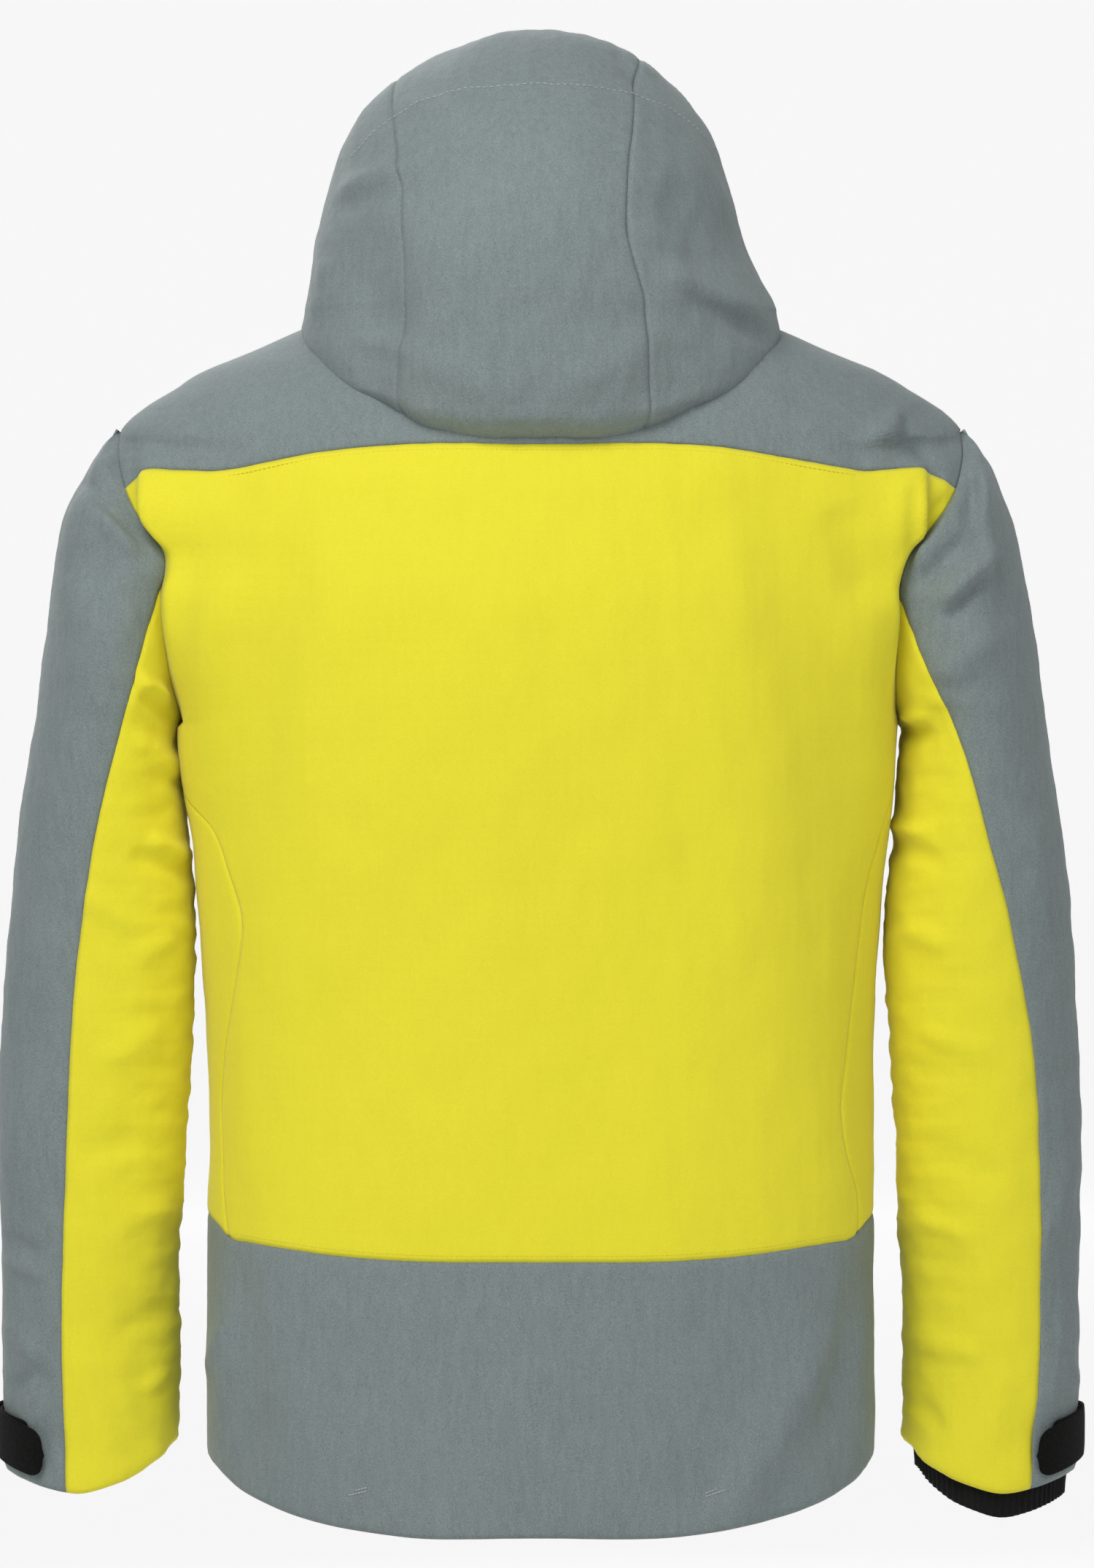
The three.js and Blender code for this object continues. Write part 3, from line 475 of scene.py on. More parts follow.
SLEEVE_FOLDS = {
    1: (
        Fold((292, 686), (258, 650), 6, -6.0, 0.3), Fold((286, 694), (272, 702), 7, 1.2),
        Fold((281, 668), (262, 640), 7, 3.8), Fold((300, 676), (306, 600), 12, 3.0),
        Fold((298, 640), (270, 600), 16, -2.2), Fold((259, 558), (238, 546), 4.5, 4.0),
        Fold((256, 549), (240, 534), 4, -3.6), Fold((262, 520), (234, 500), 7, 2.4),
        Fold((252, 455), (230, 444), 5, 2.8), Fold((262, 446), (232, 432), 5, -2.4),
        Fold((300, 420), (262, 400), 8, 1.6), Fold((238, 392), (262, 380), 7, 1.8),
        Fold((246, 330), (284, 312), 9, 1.6), Fold((262, 262), (300, 250), 9, -1.6),
        Fold((240, 216), (275, 205), 7, 1.8), Fold((332, 300), (345, 240), 9, 1.8),
        Fold((349, 196), (325, 186), 5, -2.4), Fold((350, 180), (322, 172), 5, 2.2),
        Fold((349, 140), (328, 120), 6, 2.2), Fold((243, 150), (280, 132), 8, -1.6),
        Fold((300, 120), (282, 60), 9, 1.8), Fold((244, 108), (258, 96), 5, 1.8),
        Fold((322, 110), (346, 96), 5, -2.6), Fold((330, 140), (336, 60), 7, 1.6),
    ),
    -1: (
        Fold((279, 690), (281, 642), 5, -5.5, 0.2), Fold((243, 634), (279, 688), 6.5, 4.5, 0.3),
        Fold((245, 620), (276, 650), 5, -4.5), Fold((260, 607), (299, 647), 7, 5.0, -0.3),
        Fold((262, 598), (284, 622), 5, -3.4), Fold((299, 650), (300, 600), 6, -3.8),
        Fold((286, 694), (284, 664), 6, 2.2), Fold((252, 664), (264, 674), 4, 2.8),
        Fold((256, 560), (296, 590), 10, 2.4), Fold((228, 538), (252, 534), 4.5, 3.8),
        Fold((230, 528), (254, 520), 5, -3.4), Fold((222, 466), (252, 460), 5, 3.0),
        Fold((226, 452), (258, 440), 6, -2.6), Fold((236, 400), (262, 386), 8, 1.8),
        Fold((248, 330), (290, 316), 9, 1.6), Fold((316, 470), (330, 400), 11, 2.2),
        Fold((256, 250), (300, 236), 10, -1.6), Fold((242, 210), (280, 196), 7, 1.8),
        Fold((348, 250), (330, 196), 8, 2.0), Fold((344, 150), (330, 90), 7, 1.8),
        Fold((244, 132), (286, 120), 8, 1.8), Fold((300, 110), (290, 60), 9, 1.6),
        Fold((342, 118), (350, 98), 5, 2.4), Fold((246, 90), (262, 70), 6, -1.8),
    ),
}
FRONT_FOLDS = (
    Fold((120, 620), (70, 480), 22, 2.6), Fold((-120, 620), (-70, 480), 22, 2.6),
    Fold((215, 600), (150, 520), 12, 3.4), Fold((-215, 600), (-150, 520), 12, 3.4),
    Fold((225, 640), (205, 560), 9, 4.0), Fold((-225, 640), (-205, 560), 9, 4.0),
    Fold((60, 420), (110, 230), 24, 1.8), Fold((-60, 420), (-110, 230), 24, 1.8),
    Fold((200, 480), (180, 300), 14, 2.4), Fold((-200, 480), (-180, 300), 14, 2.4),
    Fold((150, 740), (210, 690), 11, 2.8), Fold((-150, 740), (-210, 690), 11, 2.8),
)


DEEPEST_FOLD = 3.6
ZIP_NODES = ("hand_pocket_zip_left", "hand_pocket_zip_right", "chest_pocket_zip")


def shallow(lift: Array) -> Array:
    """Keeps valleys less deep than the padding, so that the lining stays covered."""
    return np.where(lift < 0, -DEEPEST_FOLD * np.tanh(-lift / DEEPEST_FOLD), lift)


def clear_of_zips(x: Array, h: Array) -> Array:
    """0 at the front's pocket zips, growing to 1 over the next 30 mm, so that no fold buries one."""
    share = np.ones(np.broadcast(x, h).shape)
    for node in ZIP_NODES:
        low, high = (np.array(corner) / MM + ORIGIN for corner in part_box(node))
        beside = np.maximum(np.maximum(low[0] - x, x - high[0]), 0)
        above = np.maximum(np.maximum(low[2] - h, h - high[2]), 0)
        share = share * smooth(6, 36, np.hypot(beside, above))
    return share


def total_lift(folds: Sequence[Fold], x: Array, h: Array) -> Array:
    """The sum of a list of folds at places across and heights."""
    return sum((fold.height_at(x, h) for fold in folds), np.zeros(np.broadcast(x, h).shape))


def body_lift(points: Array) -> Array:
    """The trunk's folds: those of the back or front, fading over the side, plus soft ripples."""
    x, y, h = np.moveaxis(points, -1, 0)
    back = smooth(-40, 50, y)
    strongly = total_lift(BACK_FOLDS + HEM_FOLDS, x, h) * FOLD_STRENGTH * back
    strongly = strongly + total_lift(FRONT_FOLDS, x, h) * (1 - back)
    calm = smooth(800, 740, h)
    ahead = 0.35 + 0.65 * smooth(6, 60, np.abs(x) + 200 * back)
    sewn = np.where(x > 0, ARMHOLE.calm(1, x, h), ARMHOLE.calm(-1, x, h))
    soft = ripple(x, h, 150, 0.9, 3, 1.8) + ripple(x + y, h, 46, 0.16, 5, 1.4)
    flat = np.where(y < 0, clear_of_zips(x, h), 1.0)
    return shallow((strongly + soft) * calm * ahead * sewn * flat)


def sleeve_lift(points: Array, side: int) -> Array:
    """One sleeve's folds, stronger on the back, with cross ripples on the inner side.

    Args:
        points: Points on the left-hand form.
        side: 1 for the left sleeve, -1 for the right.

    Returns:
        The lift at each point.
    """
    x, y, h = np.moveaxis(points, -1, 0)
    middle, half, _, _, _ = SLEEVE.section(h)
    inner = smooth(0.2, -0.9, (x - middle) / half)
    back = smooth(-20, 25, y)
    folds = total_lift(SLEEVE_FOLDS[side], x, h) * FOLD_STRENGTH * (0.35 + 0.65 * back)
    cross = ripple(y * 0.6 + side * 40, h, 58, 0.55, 11 + side, 0.45) * inner
    broad = ripple(x + 0.5 * y, h, 110, 0.8, 21 + side, 1.6) + ripple(x - y, h, 34, 0.18, 31, 1.0)
    pinch = -2.2 * np.exp(-(((h - 66) / 16) ** 2)) * smooth(-0.2, 0.9, (x - middle) / half)
    near_seam = smooth(724, 700, h)
    sewn = ARMHOLE.calm(side, x, h)
    return shallow((folds + cross + broad) * near_seam * smooth(28, 50, h) * sewn) + pinch


# ---------------------------------------------------------------- meshes
@dataclass
class Patch:
    """A grid of points with the way its faces wind.

    Attributes:
        points: Grid of points in millimetres above the datum.
        flip: True where the grid's own normals point inwards.
        closed: True where the last u row meets the first.
    """

    points: Array
    flip: bool = False
    closed: bool = False

    def faces(self, first: int) -> Array:
        """Quads of the grid, counted from the first vertex's number."""
        rows, columns = self.points.shape[:2]
        number = first + np.arange(rows * columns).reshape(rows, columns)
        if self.closed:
            number = np.vstack([number, number[:1]])
        quads = np.stack([number[:-1, :-1], number[1:, :-1], number[1:, 1:], number[:-1, 1:]], -1)
        quads = quads.reshape(-1, 4)
        return quads[:, ::-1] if self.flip else quads


def new_object(name: str, vertices: Array, faces: Array, material: bpy.types.Material) -> bpy.types.Object:
    """Makes a smooth-shaded mesh object from vertices in millimetres.

    Args:
        name: The piece's name.
        vertices: Points in millimetres above the datum, one a row.
        faces: Vertex numbers, one face a row.
        material: Its finish.

    Returns:
        The object, linked to the scene with its place in its mesh.
    """
    mesh = bpy.data.meshes.new(name)
    mesh.from_pydata((vertices - ORIGIN) * MM, [], faces.tolist())
    mesh.polygons.foreach_set("use_smooth", np.ones(len(mesh.polygons), bool))
    mesh.materials.append(material)
    mesh.update()
    made = bpy.data.objects.new(name, mesh)
    bpy.context.scene.collection.objects.link(made)
    return made


def cloth(
    name: str, patches: Sequence[Patch], material: bpy.types.Material, thickness: float, weld: bool = True
) -> bpy.types.Object:
    """Joins patches into one piece of cloth and gives it a wall on its inner side.

    Args:
        name: The piece's name.
        patches: Grids whose shared edges coincide.
        material: Its finish.
        thickness: The cloth's thickness in millimetres.
        weld: Whether vertices that coincide are merged.

    Returns:
        The piece.
    """
    faces, first = [], 0
    for patch in patches:
        faces.append(patch.faces(first))
        first += patch.points[..., 0].size
    vertices = np.vstack([patch.points.reshape(-1, 3) for patch in patches])
    made = new_object(name, vertices, np.vstack(faces), material)
    if weld:
        merge = made.modifiers.new("weld", "WELD")
        merge.merge_threshold = 0.00015
    wall = made.modifiers.new("wall", "SOLIDIFY")
    wall.thickness = thickness * MM
    wall.offset = -1
    wall.use_rim = True
    return made


def dashes(name: str, path: Array, normal: Array, material: bpy.types.Material, pitch: float,
           length: float, width: float, proud: float) -> bpy.types.Object:
    """A row of stitches: short round-ended bars laid end to end along a path.

    Args:
        name: The piece's name.
        path: Points along the seam, in millimetres.
        normal: The cloth's outward normals at those points.
        material: The thread's finish.
        pitch: Distance from stitch to stitch.
        length: A stitch's length.
        width: A stitch's width.
        proud: How far it stands out of the cloth.

    Returns:
        The row as one object.
    """
    run = np.concatenate([[0], np.cumsum(np.linalg.norm(np.diff(path, axis=0), axis=1))])
    places = np.arange(pitch / 2, run[-1], pitch)
    centre = np.stack([np.interp(places, run, path[:, i]) for i in range(3)], -1)
    ahead = np.stack([np.interp(places + 0.5, run, path[:, i]) for i in range(3)], -1)
    behind = np.stack([np.interp(places - 0.5, run, path[:, i]) for i in range(3)], -1)
    along = unit(ahead - behind)
    up = unit(np.stack([np.interp(places, run, normal[:, i]) for i in range(3)], -1))
    across = np.cross(up, along)
    profile = np.array([(-0.5, 0.3), (-0.3, 1.0), (0.3, 1.0), (0.5, 0.3)])
    ring = np.linspace(0, 2 * math.pi, 6, endpoint=False)
    parts = [
        centre + along * length * a + r * width / 2 * (across * math.cos(t))
        + up * proud * (0.2 + r * 0.8 * math.sin(t))
        for a, r in profile for t in ring
    ]
    vertices = np.stack(parts, 1)
    count, each = vertices.shape[:2]
    quads = [
        (6 * s + t, 6 * s + (t + 1) % 6, 6 * s + 6 + (t + 1) % 6, 6 * s + 6 + t)
        for s in range(3) for t in range(6)
    ]
    caps = [(0, 5, 4, 3), (0, 3, 2, 1), (18, 19, 20, 21), (18, 21, 22, 23)]
    one = np.array(quads + caps)
    faces = (one[None] + each * np.arange(count)[:, None, None]).reshape(-1, 4)
    return new_object(name, vertices.reshape(-1, 3), faces, material)


# ---------------------------------------------------------------- finishes
def _links(material: bpy.types.Material) -> tuple[bpy.types.NodeTree, bpy.types.Node]:
    """Turns on a material's nodes and returns its tree and its principled shader."""
    material.use_nodes = True
    tree = material.node_tree
    shader = next(node for node in tree.nodes if node.type == "BSDF_PRINCIPLED")
    return tree, shader


def _node(tree: bpy.types.NodeTree, kind: str, **values: object) -> bpy.types.Node:
    """Adds a node and sets its sockets by name, with spaces written as underscores."""
    made = tree.nodes.new(kind)
    for name, value in values.items():
        key = name.replace("_", " ")
        if key in made.inputs:
            made.inputs[key].default_value = value
        else:
            setattr(made, name, value)
    return made


@dataclass(frozen=True)
class Fabric:
    """Woven cloth: two tones mixed by fine grain, broad unevenness and a thread bump.

    Attributes:
        name: The material's name.
        dark: Linear colour of the darker threads.
        light: Linear colour of the lighter threads.
        roughness: Surface roughness.
        sheen: Weight of the cloth sheen.
        grain: Grains per metre in the colour.
        thread: Threads per metre in the bump.
        bump: Bump height in metres.
    """

    name: str
    dark: tuple[float, float, float]
    light: tuple[float, float, float]
    roughness: float = 0.82
    sheen: float = 0.12
    grain: float = 1300.0
    thread: float = 900.0
    bump: float = 0.00025

    def make(self) -> bpy.types.Material:
        """Builds the material.

        Returns:
            The material, with its pattern in object coordinates.
        """
        material = bpy.data.materials.new(self.name)
        tree, shader = _links(material)
        place = _node(tree, "ShaderNodeTexCoord")
        grain = _node(tree, "ShaderNodeTexNoise", Scale=self.grain, Detail=3.0, Roughness=0.75)
        broad = _node(tree, "ShaderNodeTexNoise", Scale=9.0, Detail=2.0, Roughness=0.5)
        slub = _node(tree, "ShaderNodeTexNoise", Scale=260.0, Detail=1.0)
        stretch = _node(tree, "ShaderNodeMapping", Scale=(1.0, 1.0, 0.22))
        levels = _node(tree, "ShaderNodeMapRange", From_Min=0.34, From_Max=0.66)
        blend = _node(tree, "ShaderNodeMix", data_type="RGBA")
        blend.inputs[6].default_value = (*self.dark, 1)
        blend.inputs[7].default_value = (*self.light, 1)
        slub_mix = _node(tree, "ShaderNodeMath", operation="MULTIPLY_ADD")
        slub_mix.inputs[1].default_value = 0.14
        broad_mix = _node(tree, "ShaderNodeMath", operation="MULTIPLY_ADD")
        broad_mix.inputs[1].default_value = 0.1
        shift = _node(tree, "ShaderNodeMath", operation="SUBTRACT")
        shift.inputs[1].default_value = 0.12
        tree.links.new(place.outputs["Object"], grain.inputs["Vector"])
        tree.links.new(place.outputs["Object"], broad.inputs["Vector"])
        tree.links.new(place.outputs["Object"], stretch.inputs["Vector"])
        tree.links.new(stretch.outputs["Vector"], slub.inputs["Vector"])
        tree.links.new(slub.outputs["Fac"], slub_mix.inputs[0])
        tree.links.new(grain.outputs["Fac"], slub_mix.inputs[2])
        tree.links.new(broad.outputs["Fac"], broad_mix.inputs[0])
        tree.links.new(slub_mix.outputs[0], broad_mix.inputs[2])
        tree.links.new(broad_mix.outputs[0], shift.inputs[0])
        tree.links.new(shift.outputs[0], levels.inputs["Value"])
        tree.links.new(levels.outputs["Result"], blend.inputs[0])
        tree.links.new(blend.outputs[2], shader.inputs["Base Color"])
        self._add_bump(tree, shader, place)
        shader.inputs["Roughness"].default_value = self.roughness
        shader.inputs["Sheen Weight"].default_value = self.sheen
        shader.inputs["Sheen Roughness"].default_value = 0.5
        shader.inputs["Specular IOR Level"].default_value = 0.25
        return material

    def _add_bump(self, tree: bpy.types.NodeTree, shader: bpy.types.Node, place: bpy.types.Node) -> None:
        """Crosses two bands of threads, upright and level, into a bump.

        Args:
            tree: The material's tree.
            shader: Its shader.
            place: The coordinates node.
        """
        waves = []
        for direction in ("X", "Z"):
            wave = _node(tree, "ShaderNodeTexWave", Scale=self.thread / 20, Distortion=1.5, Detail=1.0)
            wave.bands_direction = direction
            tree.links.new(place.outputs["Object"], wave.inputs["Vector"])
            waves.append(wave)
        both = _node(tree, "ShaderNodeMath", operation="MULTIPLY")
        tree.links.new(waves[0].outputs["Fac"], both.inputs[0])
        tree.links.new(waves[1].outputs["Fac"], both.inputs[1])
        bump = _node(tree, "ShaderNodeBump", Strength=0.5, Distance=self.bump)
        tree.links.new(both.outputs[0], bump.inputs["Height"])
        tree.links.new(bump.outputs["Normal"], shader.inputs["Normal"])


@dataclass(frozen=True)
class Pile:
    """Hook-and-loop pile: dark fuzz with paler fibre tips and a rough bump."""

    name: str
    dark: tuple[float, float, float]
    light: tuple[float, float, float]

    def make(self) -> bpy.types.Material:
        """Builds the material from one fine noise, for both colour and bump."""
        material = bpy.data.materials.new(self.name)
        tree, shader = _links(material)
        place = _node(tree, "ShaderNodeTexCoord")
        fuzz = _node(tree, "ShaderNodeTexNoise", Scale=700.0, Detail=4.0, Roughness=0.8)
        levels = _node(tree, "ShaderNodeMapRange", From_Min=0.5, From_Max=0.72)
        blend = _node(tree, "ShaderNodeMix", data_type="RGBA")
        blend.inputs[6].default_value = (*self.dark, 1)
        blend.inputs[7].default_value = (*self.light, 1)
        bump = _node(tree, "ShaderNodeBump", Strength=0.9, Distance=0.0012)
        tree.links.new(place.outputs["Object"], fuzz.inputs["Vector"])
        tree.links.new(fuzz.outputs["Fac"], levels.inputs["Value"])
        tree.links.new(levels.outputs["Result"], blend.inputs[0])
        tree.links.new(blend.outputs[2], shader.inputs["Base Color"])
        tree.links.new(fuzz.outputs["Fac"], bump.inputs["Height"])
        tree.links.new(bump.outputs["Normal"], shader.inputs["Normal"])
        shader.inputs["Roughness"].default_value = 0.95
        shader.inputs["Sheen Weight"].default_value = 0.04
        shader.inputs["Specular IOR Level"].default_value = 0.15
        return material


@dataclass(frozen=True)
class Hard:
    """Moulded plastic or cast metal with faint grain and uneven gloss."""

    name: str
    colour: tuple[float, float, float]
    roughness: float
    metallic: float = 0.0

    def make(self) -> bpy.types.Material:
        """Builds the material: noise drives the roughness a little and a shallow bump."""
        material = bpy.data.materials.new(self.name)
        tree, shader = _links(material)
        place = _node(tree, "ShaderNodeTexCoord")
        grain = _node(tree, "ShaderNodeTexNoise", Scale=1400.0, Detail=3.0)
        levels = _node(tree, "ShaderNodeMapRange", To_Min=self.roughness - 0.08, To_Max=self.roughness + 0.1)
        bump = _node(tree, "ShaderNodeBump", Strength=0.25, Distance=0.0002)
        tree.links.new(place.outputs["Object"], grain.inputs["Vector"])
        tree.links.new(grain.outputs["Fac"], levels.inputs["Value"])
        tree.links.new(levels.outputs["Result"], shader.inputs["Roughness"])
        tree.links.new(grain.outputs["Fac"], bump.inputs["Height"])
        tree.links.new(bump.outputs["Normal"], shader.inputs["Normal"])
        shader.inputs["Base Color"].default_value = (*self.colour, 1)
        shader.inputs["Metallic"].default_value = self.metallic
        return material


@dataclass
class Wardrobe:
    """Every finish, made once."""

    grey: bpy.types.Material = field(default_factory=Fabric(
        "grey_twill", (0.150, 0.186, 0.186), (0.262, 0.312, 0.310)).make)
    yellow: bpy.types.Material = field(default_factory=Fabric(
        "yellow_twill", (0.800, 0.725, 0.026), (0.870, 0.790, 0.038), grain=1100, bump=0.00018).make)
    lining: bpy.types.Material = field(default_factory=Fabric(
        "taffeta", (0.040, 0.047, 0.050), (0.060, 0.068, 0.072), 0.55, 0.1, 1400, 1500, 0.0001).make)
    knit: bpy.types.Material = field(default_factory=Fabric(
        "rib_knit", (0.004, 0.004, 0.004), (0.010, 0.010, 0.010), 0.95, 0.05, 800, 500, 0.0006).make)
    tape: bpy.types.Material = field(default_factory=Fabric(
        "zip_tape", (0.009, 0.010, 0.011), (0.022, 0.023, 0.025), 0.8, 0.1, 900, 1300, 0.0002).make)
    pile: bpy.types.Material = field(default_factory=Pile(
        "loop_pile", (0.0015, 0.0015, 0.0012), (0.014, 0.014, 0.013)).make)
    grey_thread: bpy.types.Material = field(default_factory=Hard("grey_thread", (0.27, 0.32, 0.32), 0.7).make)
    pale_thread: bpy.types.Material = field(default_factory=Hard("pale_thread", (0.42, 0.45, 0.45), 0.7).make)
    yellow_thread: bpy.types.Material = field(default_factory=Hard(
        "yellow_thread", (0.74, 0.67, 0.04), 0.7).make)
    moulded: bpy.types.Material = field(default_factory=Hard("moulding", (0.016, 0.018, 0.019), 0.45).make)
    metal: bpy.types.Material = field(default_factory=Hard("cast_metal", (0.30, 0.31, 0.33), 0.34, 1.0).make)


# ---------------------------------------------------------------- seams of the trunk
HEM_LINE = even((0, 10), (90, 10.5), (140, 18), (175, 28), (200, 40), (212, 50), (219, 54), (240, 56))
FRONT_HEM = even((0, 40), (120, 41), (190, 46), (219, 54), (240, 56))
HEM_SEAM = even(
    (0, 186), (94, 187), (136, 190), (173, 194.5), (190, 196.5), (199, 197.5), (204, 200), (210, 205.5), (218, 212),
    (240, 214),
)
YOKE_SEAM = curve(
    (-300, 680), (-270, 682), (-254, 691), (-236, 694), (-215, 693.5), (-190, 696), (-165, 700.5),
    (-130, 705.5), (-100, 708.5), (0, 709), (100, 708.5), (130, 705.5), (165, 700.5), (190, 696), (210, 693.8),
    (235, 694), (252, 692), (262, 688), (270, 682), (300, 680),
)
SIDE_SEAM = {
    1: curve((150, 200), (194, 202), (213, 205), (259, 209), (284, 210), (310, 208), (365, 198), (400, 193),
             (433, 202), (463, 214), (480, 225), (493, 229.6)),
    -1: curve((150, 206), (197, 206), (226, 206), (251, 199.5), (282, 196), (313, 200), (356, 205),
              (392, 209), (420, 212), (447, 217), (475, 223), (493, 228.5)),
}
SIDE_TOP = 493.0
FRONT_YOKE = 650.0
NECK = 818.0
ZIP_EDGE = 6.3
SIDE_NAMES = {1: "left", -1: "right"}


def side_turn(side: int, height: Array) -> Array:
    """The back panel's outer edge as a turn: the side seam, then the side line, then the armhole.

    Args:
        side: 1 for the left, -1 for the right.
        height: Heights above the datum.

    Returns:
        Turns from the side line, towards the back.
    """
    seam = BODY.turn_at(SIDE_SEAM[side](np.minimum(height, SIDE_TOP)), np.minimum(height, SIDE_TOP))
    at_top = BODY.turn_at(SIDE_SEAM[side](np.array(SIDE_TOP)), np.array(SIDE_TOP))
    above = at_top * smooth(ARMPIT, SIDE_TOP, height) + 0.004
    armhole = ARMHOLE.read(ARMHOLE.back, height)
    return np.where(height < SIDE_TOP, seam, np.maximum(above, armhole))


def front_turn(height: Array) -> Array:
    """The front panels' outer edge: a seam ahead of the side line, then the armhole."""
    seam = BODY.turn_at(np.interp(height, [180, 350, SIDE_TOP], [203, 203, 229]), height)
    above = BODY.turn_at(np.array(229.0), np.array(SIDE_TOP)) * smooth(ARMPIT, SIDE_TOP, height) + 0.004
    armhole = ARMHOLE.read(ARMHOLE.front, height)
    return np.where(height < SIDE_TOP, seam, np.maximum(above, armhole))


def front_edge_turn(height: Array) -> Array:
    """The turn of the front zip's edge, just beside the centre front."""
    return -BODY.turn_at(np.full(np.shape(height), ZIP_EDGE), height)


@dataclass
class Panel:
    """A panel of the trunk between two turns and two heights.

    Attributes:
        start: Turn of its first edge, by height.
        end: Turn of its last edge, by height.
        low: Height of its lower edge, by x.
        high: Height of its upper edge, by x.
        edges: Finishes of the first, last, lower and upper edge.
        size: Rough width and height, for the number of grid steps.
        mirrored: Whether it is built on the left and turned to the right.
    """

    start: Curve
    end: Curve
    low: Curve
    high: Curve
    edges: tuple[Edge, Edge, Edge, Edge]
    size: tuple[float, float]
    mirrored: bool = False

    def surface(self, turn: Array, height: Array) -> Array:
        """The trunk's form, pulled to the sewn armholes on both sides, and turned if mirrored."""
        side = -1 if self.mirrored else 1
        points = BODY.place(turn, height) + ARMHOLE.pull_body(side, turn, height)
        if self.mirrored:
            return points * (-1, 1, 1)
        return points + ARMHOLE.pull_body(-1, math.pi - turn, height) * (-1, 1, 1)

    def domain(self, step: float) -> tuple[Array, Array]:
        """Turns and heights of the grid: the four edges are blended until they agree.

        Args:
            step: Grid spacing.

        Returns:
            Turns and heights.
        """
        across = np.linspace(0, 1, int(self.size[0] / step) + 2)[:, None]
        up = np.linspace(0, 1, int(self.size[1] / step) + 2)[None, :]
        height = np.broadcast_to(
            self.low(np.array(0.0)) * (1 - up) + self.high(np.array(0.0)) * up, (across.size, up.size)
        ).copy()
        turn = np.zeros_like(height)
        for _ in range(12):
            turn = self.start(height) * (1 - across) + self.end(height) * across
            x = self.surface(turn, height)[..., 0]
            height = self.low(x) * (1 - up) + self.high(x) * up
        return turn, height

    def grid(self, offset: float = 0.0, step: float = GRID_STEP, lifted: bool = True) -> Patch:
        """Points of the panel: form + normal * (folds + offset), with its edges finished.

        Args:
            offset: Distance out from the form.
            step: Grid spacing.
            lifted: Whether the folds are added.

        Returns:
            The panel's patch.
        """
        turn, height = self.domain(step)
        points = self.surface(turn, height)
        normal = grid_normals(points) * (-1.0 if self.mirrored else 1.0)
        lift = (body_lift(points) if lifted else 0.0) + offset
        points = points + normal * np.asarray(lift)[..., None]
        h = points[..., 2]
        keep = 1 - smooth(ARMPIT - 4, ARMPIT + 8, h) * smooth(ARM_TOP + 8, ARM_TOP - 2, h) * (
            smooth(14, 8, np.abs(np.abs(points[..., 0]) - ARMHOLE.SEAM_X[1](np.clip(h, ARMPIT, ARM_TOP)))))
        points = finish_edges(points, self.edges, -1.0 if self.mirrored else 1.0, keep)
        return Patch(points, flip=self.mirrored)


def constant(value: float) -> Curve:
    """A curve with one value everywhere."""
    return lambda at: np.full(np.shape(at), float(value))


S, T, P = Edge.SEAM, Edge.TURNED, Edge.PLAIN


def right_of(edge: Curve) -> Curve:
    """The same edge measured on the right: half a turn less the left one's turn."""
    return lambda height: math.pi - edge(height)


